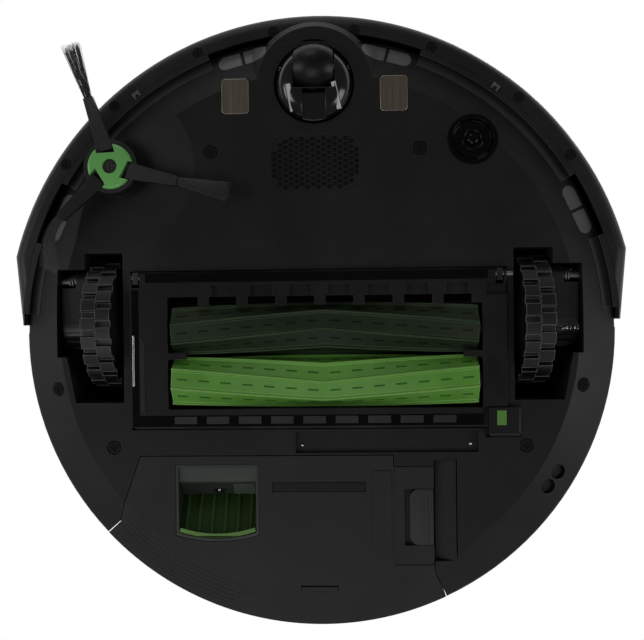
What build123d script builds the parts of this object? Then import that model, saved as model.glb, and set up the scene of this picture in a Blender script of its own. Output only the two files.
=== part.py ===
"""Robot vacuum standing on its wheels: front bumper towards -Y, its left side towards +X, +Z up, mm."""
import os
from math import cos, hypot, radians, sin, sqrt

from build123d import *

os.makedirs("parts", exist_ok=True)

# Overall body sizes
BODY_R = 163.0
BUMPER_R = 175.0
BODY_WIDTH = 339.0
HEIGHT = 87.0
RIDE = 13.0
CENTRE_Y = (BUMPER_R - BODY_R) / 2

# Shell thicknesses and clearances
COVER_T = 2.2
FLOOR_T = 1.8
WALL = 1.8
SHELL_GAP = 0.3
FIT = 0.05

# Underside skin: flat middle, bevelled rim, raised lobe round the caster, dish round the side brush
FLAT_R = 141.0
RIM_RISE = 11.0
LOBE_R = 31.0
DISH_R = 45.0
DISH_FLOOR_R = 16.0
DISH_RISE = 4.0
RIM_R = BODY_R - 0.4
RIM_Z = RIDE + RIM_RISE
FRAME_LIFT = COVER_T + SHELL_GAP
FLOOR_Z = RIDE + FRAME_LIFT
DECK_LIFT = FRAME_LIFT + FLOOR_T
DECK_Z = RIDE + DECK_LIFT
LID_DROP = 11.0
LID_Z = HEIGHT - LID_DROP

# Bumper
BUMPER_WALL = 3.0
BUMPER_LIP_T = 2.5
BUMPER_LIP_Z = RIDE + 5.5
BUMPER_LIP_W = 10.8
BUMPER_END_Y = 1.0
BUMPER_END_TAPER = 3.5
BUMPER_TRAVEL = 3.0
BUMPER_TOP_Z = LID_Z - 0.4
BUMPER_SCREWS = ((22, -158.6), (64, -148.1), (111, -120), (138.5, -88.3))
WINDOW_HALF = 88.0
WINDOW_LOW = 44.0
WINDOW_HIGH = 62.0
WINDOW_T = 1.2
BODY_SPLIT_Y = BUMPER_END_Y + BUMPER_TRAVEL + 1.5
FRONT_WALL_R = 156.0

# Drive wheels, measured from the middle plane outwards
WHEEL_R = 36.0
WHEEL_Y = 0.5
WHEEL_X = 110.2
TYRE_W = 15.6
TREAD_DEPTH = 2.6
RIM_WHEEL_R = 27.0
LUGS = 22
LUG_SHARE = 0.62
AXLE_R = 3.0
ARM_X = WHEEL_X + TYRE_W + 2.0
ARM_W = 14.7
ARM_DRUM_R = 14.6
ARM_RIB = 0.9
ARM_LENGTH = 24.0
ARM_FALL = 10.0
PIVOT_R = 3.0
PIVOT_BOSS_R = 5.5
PIVOT_Y = WHEEL_Y - ARM_LENGTH
PIVOT_Z = WHEEL_R - ARM_FALL
WELL_IN = 106.0
WELL_STEP = 127.2
WELL_OUT = ARM_X + ARM_W + 0.8
WELL_TOP = 74.0
WELL_POINTS = (
    (WELL_IN, -38.1),
    (WELL_STEP, -38.1),
    (WELL_STEP, -29.5),
    (WELL_OUT, -29.5),
    (WELL_OUT, 18.8),
    (137.5, 18.8),
    (132.9, 43.9),
    (WELL_IN, 43.9),
)

# Caster
CASTER_Y = -128.4
CASTER_WELL_R = 21.8
CASTER_R = 12.5
CASTER_W = 21.0
CASTER_TRAIL = 8.4
CASTER_CROWN = 3.2
CASTER_AXLE_R = 1.6
CASTER_TOP = 42.0
SWIVEL_STEM_R = 4.0
SWIVEL_R = CASTER_WELL_R - 0.7

# Side brush
BRUSH_X = -110.8
BRUSH_Y = -84.7
HUB_R = 12.4
HUB_LOW = 6.6
HUB_HIGH = 11.4
RING_R = 14.5
SHAFT_R = 4.0
ARM_ANGLES = (13.8, 133.8, 253.8)
ARM_ROOT = 9.2
ARM_ROOT_W = 9.0
ARM_REACH = 38.0
ARM_TIP_W = 5.2
ARM_TIP_Z = 5.4
TUFT_REACH = 68.0

# Cleaning head
HEAD_LEFT = 102.5
HEAD_RIGHT = -102.0
HEAD_FRONT = -27.9
HEAD_BACK = 58.9
HEAD_TOP = 49.0
ROLLER_R = 14.1
ROLLER_Z = 18.0
ROLLER_GAP = 0.5
ROLLER_X0 = -79.5
ROLLER_X1 = 87.4
ROLLER_FRONT_Y = 4.2
ROLLER_BACK_Y = ROLLER_FRONT_Y + 2 * ROLLER_R + ROLLER_GAP
ROLLER_SIDES = 8
ROLLER_TWIST = 34.0
ROLLER_FIN = 1.3
ROLLER_CORE_R = 8.0
ROLLER_SHAFT_R = 4.0
FRAME_LOW = RIDE - 4.5
FRAME_HIGH = RIDE + 0.3
FRAME_HINGE_Y = HEAD_FRONT + 3.9
FRAME_HINGE_Z = RIDE - 2.2
FRAME_PIN_R = 1.5
COMB_TEETH = 8
COMB_PITCH = 21.0
COMB_X0 = -61.0
LATCH_X0 = 91.5
LATCH_X1 = 108.8
LATCH_Y0 = 47.5
LATCH_Y1 = 63.0
DUCT_X0 = -40.0
DUCT_X1 = 36.0
DUCT_Z0 = 31.0
DUCT_Z1 = 45.0

# Dust bin
BIN_GAP = 0.5
BIN_WALL = 2.0
BIN_TOP = 68.0
BIN_LID_T = 2.0
BAY_TOP = BIN_TOP + BIN_LID_T + 0.6
BIN_FRONT = 73.5
BIN_POINTS = (
    (-97.4, BIN_FRONT),
    (40.4, BIN_FRONT),
    (40.4, 79.8),
    (62.2, 79.8),
    (62.2, 136.4),
    (83.4, 187.6),
    (-169.0, 187.6),
    (-169.0, 162.3),
    (-110.3, 110.0),
)
PORT_X0 = -78.5
PORT_X1 = -32.6
PORT_Y0 = 77.9
PORT_Y1 = 116.8
PORT_BULGE = 3.3
PORT_WALL = 1.5
DOOR_HINGE_Y = 93.8
DOOR_HINGE_Z = 29.6
DOOR_LIP_Y = 118.6
DOOR_LIP_Z = 13.9
DOOR_T = 1.6
DOOR_PIN_R = 1.2
DOOR_RIBS = 6
TAB_X0 = 49.2
TAB_X1 = 61.8
TAB_Y0 = 92.0
TAB_Y1 = 122.2
TAB_TRAVEL = 2.5
TAB_HIGH = RIDE + 3.5
GRIP_X1 = 74.7
GRIP_Y0 = 75.9
GRIP_Y1 = 130.9
GRIP_DEPTH = 7.5
GRIP_TOP = RIDE + GRIP_DEPTH
BIN_RIGHT = BIN_POINTS[3][0]

# Small pieces of the underside
SCREW_HEAD_R = 3.4
SCREW_R = 1.6
SCREWS = ((56.8, -92.5), (143.4, 36.3), (112, 68.4))
CONTACT_W = 14.8
CONTACT_L = 19.0
CONTACT_X = 43.0
CONTACT_Y = -122.3
LENS_R = 13.4
LENS_X = 85.2
LENS_Y = -96.7
CLIFF_R = 156.3
CLIFF_L = 28.0
CLIFF_W = 8.2
CLIFF_BAR = 1.6
CLIFF_ANGLES = (-24.5, -75.3, -104.7, -155.5)
PATCH_W = 47.8
PATCH_L = 30.7
PATCH_Y = -85.6

# Top side
DISC_R = 108.0
DISC_T = 2.8
LIGHT_R = 19.0
BUTTON_R = 15.0
SMALL_BUTTON_R = 7.0
BUTTON_Y = CENTRE_Y - 70.0
SMALL_BUTTON_X = 34.0
BUTTON_FIT = 0.35

# Inner pieces
BATTERY_W = 100.0
BATTERY_L = 64.0
BATTERY_H = 27.0
BATTERY_Y = -67.0
BOARD_W = 118.0
BOARD_L = 74.0
BOARD_Z = 60.0
BOARD_Y = -72.0
FAN_X = 104.0
FAN_Y = 102.0
FAN_R = 17.0
FAN_TOP = 60.0

CENTRE_PLANE = Plane(origin=(0, CENTRE_Y, 0), x_dir=(1, 0, 0), z_dir=(0, -1, 0))
CENTRE_AXIS = Axis((0, CENTRE_Y, 0), (0, 0, 1))


def save(builder, node):
    """Label a finished piece and write it to its own file."""
    builder.part.label = node
    export_step(builder.part, f"parts/{node}.step")


def skin_z(x, y):
    """Height of the underside skin at a point."""
    out = max(0, hypot(x, y - CENTRE_Y) - FLAT_R)
    return RIDE + out * RIM_RISE / (RIM_R - FLAT_R)


def both_sides(points):
    """The points and their mirror images across the middle plane."""
    return [(side * x, y) for x, y in points for side in (1, -1)]


def block(x0, x1, y0, y1, z0, z1, mode=Mode.ADD):
    """Add or cut a box given by its limits."""
    with Locations(((x0 + x1) / 2, (y0 + y1) / 2, (z0 + z1) / 2)):
        Box(x1 - x0, y1 - y0, z1 - z0, mode=mode)


def rod(x0, x1, y, z, radius, mode=Mode.ADD):
    """Add or cut a round bar along X."""
    with Locations(Location(((x0 + x1) / 2, y, z), (0, 90, 0))):
        Cylinder(radius, abs(x1 - x0), mode=mode)


def post(x, y, z0, z1, radius, mode=Mode.ADD):
    """Add or cut an upright round bar."""
    with Locations((x, y, (z0 + z1) / 2)):
        Cylinder(radius, z1 - z0, mode=mode)


def under_form(lift, top):
    """Everything above the underside skin when that is raised by lift, up to the height top."""
    low = RIDE + lift
    high = low + RIM_RISE
    clip_r = BUMPER_R - BUMPER_LIP_W - BUMPER_TRAVEL - 4.0
    with BuildPart() as lobe:
        with BuildSketch(Plane((0, CASTER_Y, 0), x_dir=(1, 0, 0), z_dir=(0, -1, 0))):
            Polygon((0, low), (LOBE_R, low), (LOBE_R + RIM_RISE, high), (0, high))
        revolve(axis=Axis((0, CASTER_Y, 0), (0, 0, 1)))
        with BuildSketch(CENTRE_PLANE):
            Polygon((0, low), (clip_r, low), (clip_r + 0.38 * RIM_RISE, high), (0, high))
        revolve(axis=CENTRE_AXIS, mode=Mode.INTERSECT)
    with BuildPart() as form:
        with BuildSketch(CENTRE_PLANE):
            Polygon((0, low), (FLAT_R, low), (RIM_R, high), (RIM_R, max(top, high)), (0, max(top, high)))
        revolve(axis=CENTRE_AXIS)
        add(lobe.part)
        with BuildSketch(Plane((BRUSH_X, BRUSH_Y, 0), x_dir=(1, 0, 0), z_dir=(0, -1, 0))):
            Polygon((0, 0), (DISH_R, 0), (DISH_R, low), (DISH_FLOOR_R, low + DISH_RISE), (0, low + DISH_RISE))
        revolve(axis=Axis((BRUSH_X, BRUSH_Y, 0), (0, 0, 1)), mode=Mode.SUBTRACT)
    return form.part


def skin_sheet(lift, thickness):
    """Sheet that follows the underside skin, raised by lift."""
    with BuildPart() as sheet:
        add(under_form(lift, RIM_Z + lift))
        add(under_form(lift + thickness, RIM_Z + lift + thickness), mode=Mode.SUBTRACT)
    return sheet.part


def bin_form(lift, inset, top):
    """Round rear body above the underside skin, drawn in by inset."""
    low = RIDE + lift
    side = BODY_R - inset
    with BuildPart() as form:
        with BuildSketch(CENTRE_PLANE):
            Polygon((0, low), (FLAT_R, low), (side, low + RIM_RISE), (side, top), (0, top))
        revolve(axis=CENTRE_AXIS)
    return form.part


def wheel_wells(z, grow):
    """Outline of both wheel wells."""
    with BuildSketch(Plane.XY.offset(z)) as wells:
        Polygon(*WELL_POINTS)
        mirror(about=Plane.YZ)
        if grow:
            offset(amount=grow, kind=Kind.INTERSECTION)
    return wells.sketch


def bin_outline(z, grow):
    """Outline of the dust bin, running out past the rear of the body."""
    with BuildSketch(Plane.XY.offset(z)) as outline:
        Polygon(*BIN_POINTS)
        if grow:
            offset(amount=grow, kind=Kind.INTERSECTION)
    return outline.sketch


def bumper_outline(z, inset):
    """Outline of the front half: the bumper's arc with its two tapering sides."""
    radius = BUMPER_R - inset
    half = BODY_WIDTH / 2 - inset
    end = half - BUMPER_END_TAPER
    tangent_y = CENTRE_Y - sqrt(radius**2 - half**2)
    with BuildSketch(Plane.XY.offset(z)) as outline:
        with BuildLine():
            Line((end, BUMPER_END_Y), (half, tangent_y))
            ThreePointArc((half, tangent_y), (0, CENTRE_Y - radius), (-half, tangent_y))
            Line((-half, tangent_y), (-end, BUMPER_END_Y))
            Line((-end, BUMPER_END_Y), (end, BUMPER_END_Y))
        make_face()
    return outline.sketch


def lid_outline(z, inset):
    """Outline of the top cover: the bumper's arc in front, the round body behind."""
    with BuildSketch(Plane.XY.offset(z)) as outline:
        with Locations((0, CENTRE_Y)):
            Circle(BODY_R - inset)
        add(bumper_outline(0, 1.0 + inset))
    return outline.sketch


def cliff_panes(z, grow):
    """The two panes of each of the four cliff sensors."""
    with BuildSketch(Plane.XY.offset(z)) as panes:
        for angle in CLIFF_ANGLES:
            x = CLIFF_R * cos(radians(angle))
            y = CENTRE_Y + CLIFF_R * sin(radians(angle))
            with Locations(Location((x, y, 0), (0, 0, angle + 90))):
                SlotOverall(CLIFF_L + 2 * grow, CLIFF_W + 2 * grow)
                Rectangle(CLIFF_BAR - 2 * grow, CLIFF_W + 2, mode=Mode.SUBTRACT)
    return panes.sketch


def port_outline(z, inset):
    """Outline of the evacuation port: straight sides and a bulging rear edge."""
    x0 = PORT_X0 + inset
    x1 = PORT_X1 - inset
    y0 = PORT_Y0 + inset
    y1 = PORT_Y1 - inset
    with BuildSketch(Plane.XY.offset(z)) as outline:
        with BuildLine():
            Polyline((x0, y1), (x0, y0), (x1, y0), (x1, y1))
            ThreePointArc((x1, y1), ((x0 + x1) / 2, y1 + PORT_BULGE), (x0, y1))
        make_face()
    return outline.sketch


# Bottom cover: the moulded underside skin with all its openings
with BuildPart() as bottom_cover:
    add(skin_sheet(0, COVER_T))
    extrude(wheel_wells(0, 0), amount=RIM_Z, mode=Mode.SUBTRACT)
    extrude(bin_outline(0, BIN_GAP), amount=RIM_Z, mode=Mode.SUBTRACT)
    block(HEAD_RIGHT, HEAD_LEFT, HEAD_FRONT, HEAD_BACK, 0, RIM_Z, mode=Mode.SUBTRACT)
    block(LATCH_X0 - 1.2, LATCH_X1 + 0.8, HEAD_BACK - 8, LATCH_Y1 + 0.9, 0, RIM_Z, mode=Mode.SUBTRACT)
    block(-12.3, 86.4, HEAD_BACK + 1.4, BIN_FRONT - 1.7, 0, RIM_Z, mode=Mode.SUBTRACT)
    block(BIN_RIGHT, GRIP_X1, GRIP_Y0, GRIP_Y1, 0, RIM_Z, mode=Mode.SUBTRACT)
    post(0, CASTER_Y, 0, RIM_Z, CASTER_WELL_R, mode=Mode.SUBTRACT)
    post(BRUSH_X, BRUSH_Y, 0, RIM_Z, SHAFT_R + 2, mode=Mode.SUBTRACT)
    post(LENS_X, LENS_Y, 0, RIM_Z, LENS_R + 0.2, mode=Mode.SUBTRACT)
    extrude(cliff_panes(0, 0.15), amount=RIM_Z, mode=Mode.SUBTRACT)
    for side in (1, -1):
        with Locations((side * CONTACT_X, CONTACT_Y, RIDE)):
            Box(CONTACT_W + 0.4, CONTACT_L + 0.4, 4 * COVER_T, mode=Mode.SUBTRACT)
    with BuildSketch(Plane.XY.offset(RIDE)):
        with Locations((0, PATCH_Y)):
            RectangleRounded(PATCH_W, PATCH_L, 8)
    extrude(amount=0.6, mode=Mode.SUBTRACT)
    for x, y in both_sides(SCREWS):
        post(x, y, 0, skin_z(x, y) + 1.2, SCREW_HEAD_R + 0.5, mode=Mode.SUBTRACT)
        post(x, y, 0, RIM_Z, SCREW_R + 0.2, mode=Mode.SUBTRACT)
    for x, y in ((129.8, 83.6), (124.2, 91.4)):
        post(x, y, 0, RIM_Z, 4.2, mode=Mode.SUBTRACT)
save(bottom_cover, "bottom_cover")

# Chassis: floor above the bottom cover, wells, bays and the outer wall
with BuildPart() as chassis:
    extrude(wheel_wells(0, WALL), amount=WELL_TOP + WALL)
    block(HEAD_RIGHT - WALL, HEAD_LEFT + WALL, HEAD_FRONT - WALL, HEAD_BACK + WALL, 0, HEAD_TOP + WALL)
    extrude(bin_outline(0, BIN_GAP + WALL), amount=BAY_TOP + WALL)
    post(0, CASTER_Y, 0, CASTER_TOP + WALL, CASTER_WELL_R + WALL)
    for x, y in both_sides(SCREWS):
        post(x, y, 0, skin_z(x, y) + 11, SCREW_R + 2.2)
    for x in (-BOARD_W / 2 + 4, BOARD_W / 2 - 4):
        for y in (BOARD_Y - BOARD_L / 2 + 4, BOARD_Y + BOARD_L / 2 - 4):
            post(x, y, 0, BOARD_Z, 3)
    add(under_form(FRAME_LIFT, LID_Z), mode=Mode.INTERSECT)
    add(skin_sheet(FRAME_LIFT, FLOOR_T))
    with BuildSketch(Plane.XY.offset(RIM_Z - 0.4)):
        with Locations((0, CENTRE_Y)):
            Circle(FRONT_WALL_R)
            Circle(FRONT_WALL_R - 2, mode=Mode.SUBTRACT)
        with Locations((0, BODY_SPLIT_Y - BUMPER_R)):
            Rectangle(4 * BODY_R, 2 * BUMPER_R, mode=Mode.INTERSECT)
    extrude(amount=LID_Z - 0.3 - RIM_Z + 0.4)
    with BuildSketch(Plane.XY.offset(RIM_Z + SHELL_GAP)):
        with Locations((0, CENTRE_Y)):
            Circle(BODY_R)
            Circle(BODY_R - 2.4, mode=Mode.SUBTRACT)
        with Locations((0, BODY_SPLIT_Y + BODY_R)):
            Rectangle(4 * BODY_R, 2 * BODY_R, mode=Mode.INTERSECT)
    extrude(amount=LID_Z - 0.3 - RIM_Z - SHELL_GAP)
    for side in (1, -1):
        x0 = side * (FRONT_WALL_R - 2.5)
        x1 = side * (BODY_R - 0.4)
        block(min(x0, x1), max(x0, x1), BODY_SPLIT_Y, BODY_SPLIT_Y + 2, RIM_Z + SHELL_GAP, LID_Z - 0.3)
    extrude(wheel_wells(0, 0), amount=WELL_TOP, mode=Mode.SUBTRACT)
    extrude(bin_outline(0, BIN_GAP), amount=BAY_TOP, mode=Mode.SUBTRACT)
    block(HEAD_RIGHT, HEAD_LEFT, HEAD_FRONT, HEAD_BACK, 0, HEAD_TOP, mode=Mode.SUBTRACT)
    block(
        DUCT_X0 - WALL - 0.2, DUCT_X1 + WALL + 0.2, HEAD_BACK - 1, BIN_FRONT + 1,
        DUCT_Z0 - WALL - 0.2, DUCT_Z1 + WALL + 0.2, mode=Mode.SUBTRACT,
    )
    block(
        BIN_RIGHT, GRIP_X1 + PORT_WALL + 0.2, GRIP_Y0 - PORT_WALL - 0.2, GRIP_Y1 + PORT_WALL + 0.2,
        0, GRIP_TOP + PORT_WALL + 0.2, mode=Mode.SUBTRACT,
    )
    block(BIN_RIGHT, BIN_RIGHT + 4, FAN_Y - 6.2, FAN_Y + 6.2, 39.8, 55.2, mode=Mode.SUBTRACT)
    post(0, CASTER_Y, 0, CASTER_TOP, CASTER_WELL_R, mode=Mode.SUBTRACT)
    post(0, CASTER_Y, 0, HEIGHT, SWIVEL_STEM_R + FIT, mode=Mode.SUBTRACT)
    post(BRUSH_X, BRUSH_Y, 0, RIM_Z + 10, SHAFT_R + 2, mode=Mode.SUBTRACT)
    for x, y in both_sides(SCREWS):
        post(x, y, 0, skin_z(x, y) + 1.3, SCREW_HEAD_R + 0.5, mode=Mode.SUBTRACT)
        post(x, y, 0, skin_z(x, y) + 10, SCREW_R + FIT, mode=Mode.SUBTRACT)
    for side in (1, -1):
        hole_end = side * (WELL_OUT + WALL + 1)
        rod(side * (WELL_OUT - 1), hole_end, PIVOT_Y, PIVOT_Z, PIVOT_R + FIT, mode=Mode.SUBTRACT)
save(chassis, "chassis")

# Finger recess beside the bin's release tab
with BuildPart() as finger_recess:
    block(
        BIN_RIGHT + 0.8, GRIP_X1 + PORT_WALL, GRIP_Y0 - PORT_WALL, GRIP_Y1 + PORT_WALL,
        FLOOR_Z, GRIP_TOP + PORT_WALL,
    )
    block(GRIP_X1, GRIP_X1 + 4, GRIP_Y0 - 1, GRIP_Y1 - 22, DECK_Z + 0.2, DECK_Z + 1.8)
    block(BIN_RIGHT, GRIP_X1, GRIP_Y0, GRIP_Y1, 0, GRIP_TOP, mode=Mode.SUBTRACT)
    add(under_form(FRAME_LIFT, LID_Z), mode=Mode.INTERSECT)
save(finger_recess, "finger_recess")

# Screws that hold the bottom cover to the chassis
with BuildPart() as bottom_screws:
    for x, y in both_sides(SCREWS):
        seat = skin_z(x, y) + 1.2
        post(x, y, seat - 1.0, seat, SCREW_HEAD_R)
        post(x, y, seat - 0.1, seat + 7.5, SCREW_R)
        with Locations((x, y, seat - 1.0)):
            Box(4.2, 0.9, 1.2, mode=Mode.SUBTRACT)
            Box(0.9, 4.2, 1.2, mode=Mode.SUBTRACT)
save(bottom_screws, "bottom_screws")

# Panes of the four cliff sensors, following the bevel
with BuildPart() as cliff_windows:
    add(skin_sheet(0.3, COVER_T - 0.1))
    extrude(cliff_panes(0, 0), amount=RIM_Z + 10, mode=Mode.INTERSECT)
save(cliff_windows, "cliff_windows")

# Charging contacts
with BuildPart() as charging_contacts:
    for side in (1, -1):
        with Locations((side * CONTACT_X, CONTACT_Y, RIDE - 0.2)):
            Box(CONTACT_W, CONTACT_L, COVER_T + 0.3, align=(Align.CENTER, Align.CENTER, Align.MIN))
    fillet(charging_contacts.edges().filter_by(Axis.Z), 2)
save(charging_contacts, "charging_contacts")

# Lens of the floor-tracking camera
with BuildPart() as floor_lens:
    with BuildSketch(Plane((LENS_X, LENS_Y, 0), x_dir=(1, 0, 0), z_dir=(0, -1, 0))):
        with BuildLine():
            Polyline(
                (0, RIDE + 1.4), (0, RIDE + COVER_T), (LENS_R, RIDE + COVER_T), (LENS_R, RIDE - 0.3),
                (LENS_R - 2.2, RIDE - 0.3), (LENS_R - 3.4, RIDE + 1.4),
            )
            Line((LENS_R - 3.4, RIDE + 1.4), (0, RIDE + 1.4))
        make_face()
    revolve(axis=Axis((LENS_X, LENS_Y, 0), (0, 0, 1)))
save(floor_lens, "floor_lens")

# Bumper: C-shaped skin round the front
with BuildPart() as bumper_shell:
    extrude(bumper_outline(BUMPER_LIP_Z, 0), amount=BUMPER_TOP_Z - BUMPER_LIP_Z)
    low_rim = bumper_shell.faces().sort_by(Axis.Z)[0].edges()
    fillet([edge for edge in low_rim if edge.center().Y < BUMPER_END_Y - 1], 7)
    high_rim = bumper_shell.faces().sort_by(Axis.Z)[-1].edges()
    fillet([edge for edge in high_rim if edge.center().Y < BUMPER_END_Y - 1], 3)
    extrude(
        bumper_outline(BUMPER_LIP_Z + BUMPER_LIP_T, BUMPER_WALL),
        amount=BUMPER_TOP_Z - BUMPER_LIP_Z - 2 * BUMPER_LIP_T, mode=Mode.SUBTRACT,
    )
    extrude(bumper_outline(BUMPER_TOP_Z - 5, 8), amount=8, mode=Mode.SUBTRACT)
    post(0, CENTRE_Y, 0, BUMPER_LIP_Z + 5, BUMPER_R - BUMPER_LIP_W, mode=Mode.SUBTRACT)
    with BuildSketch(Plane.XY.offset(WINDOW_LOW)):
        with Locations((0, -BUMPER_R)):
            Rectangle(2 * WINDOW_HALF, 2 * BUMPER_R)
        add(bumper_outline(0, WINDOW_T + FIT), mode=Mode.SUBTRACT)
    extrude(amount=WINDOW_HIGH - WINDOW_LOW, mode=Mode.SUBTRACT)
    for x, y in both_sides(BUMPER_SCREWS):
        post(x, y, 0, BUMPER_LIP_Z + 1.2, 3.1, mode=Mode.SUBTRACT)
        post(x, y, 0, BUMPER_LIP_Z + 5, 1.4, mode=Mode.SUBTRACT)
save(bumper_shell, "bumper_shell")

# Dark sensor window in the face of the bumper
with BuildPart() as bumper_window:
    with BuildSketch(Plane.XY.offset(WINDOW_LOW + 0.1)):
        add(bumper_outline(0, 0.1))
        add(bumper_outline(0, WINDOW_T), mode=Mode.SUBTRACT)
        with Locations((0, -BUMPER_R)):
            Rectangle(2 * WINDOW_HALF - 0.2, 2 * BUMPER_R, mode=Mode.INTERSECT)
    extrude(amount=WINDOW_HIGH - WINDOW_LOW - 0.2)
save(bumper_window, "bumper_window")

# Screws in the lip of the bumper
with BuildPart() as bumper_screws:
    for x, y in both_sides(BUMPER_SCREWS):
        post(x, y, BUMPER_LIP_Z + 0.3, BUMPER_LIP_Z + 1.2, 2.8)
        post(x, y, BUMPER_LIP_Z + 1.1, BUMPER_LIP_Z + BUMPER_LIP_T, 1.3)
        with Locations((x, y, BUMPER_LIP_Z + 0.3)):
            Box(3.4, 0.8, 0.9, mode=Mode.SUBTRACT)
            Box(0.8, 3.4, 0.9, mode=Mode.SUBTRACT)
save(bumper_screws, "bumper_screws")

# Top cover: shallow lid over the whole body
with BuildPart() as top_cover:
    extrude(lid_outline(LID_Z, 0), amount=HEIGHT - 1.8 - LID_Z)
    fillet(top_cover.faces().sort_by(Axis.Z)[-1].edges(), 6)
    extrude(lid_outline(LID_Z, 3), amount=HEIGHT - 4.2 - LID_Z, mode=Mode.SUBTRACT)
    post(0, CENTRE_Y, HEIGHT - DISC_T, HEIGHT, DISC_R + 0.25, mode=Mode.SUBTRACT)
    post(0, BUTTON_Y, LID_Z, HEIGHT, BUTTON_R + BUTTON_FIT, mode=Mode.SUBTRACT)
    for side in (1, -1):
        post(side * SMALL_BUTTON_X, BUTTON_Y, LID_Z, HEIGHT, SMALL_BUTTON_R + BUTTON_FIT, mode=Mode.SUBTRACT)
save(top_cover, "top_cover")

# Deck disc let into the top cover
with BuildPart() as deck_disc:
    post(0, CENTRE_Y, HEIGHT - DISC_T, HEIGHT, DISC_R)
    chamfer(deck_disc.faces().sort_by(Axis.Z)[-1].edges(), 0.8)
    post(0, BUTTON_Y, LID_Z, HEIGHT, LIGHT_R + 0.1, mode=Mode.SUBTRACT)
    for side in (1, -1):
        post(side * SMALL_BUTTON_X, BUTTON_Y, LID_Z, HEIGHT, SMALL_BUTTON_R + BUTTON_FIT, mode=Mode.SUBTRACT)
save(deck_disc, "deck_disc")

# Light ring round the main button
with BuildPart() as light_ring:
    post(0, BUTTON_Y, HEIGHT - DISC_T, HEIGHT - 0.1, LIGHT_R)
    post(0, BUTTON_Y, LID_Z, HEIGHT, BUTTON_R + BUTTON_FIT, mode=Mode.SUBTRACT)
save(light_ring, "light_ring")


def push_button(x, radius, node):
    """One push button with its retaining flange under the top cover."""
    with BuildPart() as button:
        post(x, BUTTON_Y, LID_Z + 2, HEIGHT - 0.2, radius)
        fillet(button.faces().sort_by(Axis.Z)[-1].edges(), 0.8)
        post(x, BUTTON_Y, LID_Z + 4, HEIGHT - 4.5, radius + 1.5)
    save(button, node)


push_button(0, BUTTON_R, "main_button")
push_button(SMALL_BUTTON_X, SMALL_BUTTON_R, "left_button")
push_button(-SMALL_BUTTON_X, SMALL_BUTTON_R, "right_button")


def drive_wheel(name, side):
    """One drive wheel with its swing arm, axle, pivot pin and spring."""
    inner = side * WHEEL_X
    outer = side * (WHEEL_X + TYRE_W)

    # Swing arm with the gearbox drum round the axle
    with BuildPart() as arm:
        with BuildSketch(Plane.YZ.offset(side * ARM_X)):
            with Locations((WHEEL_Y, WHEEL_R)):
                Circle(ARM_DRUM_R)
            with Locations((PIVOT_Y, PIVOT_Z)):
                Circle(PIVOT_BOSS_R)
            make_hull()
        extrude(amount=side * ARM_W)
        with BuildSketch(Plane.YZ.offset(side * (ARM_X + 1))):
            with Locations((WHEEL_Y, WHEEL_R)):
                with PolarLocations(ARM_DRUM_R, 16):
                    Rectangle(2 * ARM_RIB, 1.6)
        extrude(amount=side * (ARM_W - 2))
        rod(side * (ARM_X - 1.7), side * (ARM_X + 1), WHEEL_Y, WHEEL_R, AXLE_R + 3)
        arm_in = side * (ARM_X - 3)
        arm_out = side * (ARM_X + ARM_W + 1)
        rod(side * (ARM_X + 6.8), arm_out, PIVOT_Y, PIVOT_Z, PIVOT_BOSS_R + 1.2, mode=Mode.SUBTRACT)
        rod(arm_in, arm_out, WHEEL_Y, WHEEL_R, AXLE_R + FIT, mode=Mode.SUBTRACT)
        rod(arm_in, arm_out, PIVOT_Y, PIVOT_Z, PIVOT_R + FIT, mode=Mode.SUBTRACT)
    save(arm, f"{name}_wheel_arm")

    with BuildPart() as pivot_pin:
        rod(side * (ARM_X - 0.5), side * (WELL_OUT + WALL + 1), PIVOT_Y, PIVOT_Z, PIVOT_R)
    save(pivot_pin, f"{name}_pivot_pin")

    with BuildPart() as spring:
        with BuildLine() as coil:
            coil_start = (side * (ARM_X + 7.6), PIVOT_Y, PIVOT_Z)
            Helix(1.5, 3.6, PIVOT_R + 1.1, center=coil_start, direction=(side, 0, 0))
        with BuildSketch(Plane(coil.line @ 0, z_dir=coil.line % 0)):
            Circle(0.6)
        sweep(is_frenet=True)
    save(spring, f"{name}_wheel_spring")

    with BuildPart() as rim:
        with BuildSketch(Plane.XZ.offset(-WHEEL_Y)):
            with Locations((0, WHEEL_R)):
                Polygon(
                    (inner - side * 2.4, AXLE_R), (inner - side * 2.4, 11), (inner + side * 0.6, 24.5),
                    (inner + side * 0.6, RIM_WHEEL_R), (outer - side, RIM_WHEEL_R), (outer - side, 22),
                    (outer - side * 6, 19), (outer - side * 6, 8), (outer, 7), (outer, AXLE_R),
                )
        revolve(axis=Axis((0, WHEEL_Y, WHEEL_R), (1, 0, 0)))
    save(rim, f"{name}_wheel_rim")

    # Tyre with two staggered rows of lugs
    with BuildPart() as tyre:
        with BuildSketch(Plane.YZ.offset(inner)):
            with Locations((WHEEL_Y, WHEEL_R)):
                Circle(WHEEL_R - TREAD_DEPTH)
                Circle(RIM_WHEEL_R + FIT, mode=Mode.SUBTRACT)
        extrude(amount=side * TYRE_W)
        pitch = 360 / LUGS
        lug = 2 * WHEEL_R * sin(radians(pitch * LUG_SHARE / 2))
        for row in (0, 1):
            with BuildSketch(Plane.YZ.offset(inner + side * row * TYRE_W / 2)):
                with Locations((WHEEL_Y, WHEEL_R)):
                    with PolarLocations(WHEEL_R - TREAD_DEPTH / 2 - 0.3, LUGS, start_angle=row * pitch / 2):
                        Rectangle(TREAD_DEPTH + 1, lug)
                    Circle(WHEEL_R, mode=Mode.INTERSECT)
            extrude(amount=side * TYRE_W / 2)
    save(tyre, f"{name}_tyre")

    with BuildPart() as axle:
        rod(inner - side * 3.2, side * (ARM_X + ARM_W - 0.5), WHEEL_Y, WHEEL_R, AXLE_R)
    save(axle, f"{name}_axle")


drive_wheel("left", 1)
drive_wheel("right", -1)

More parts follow.
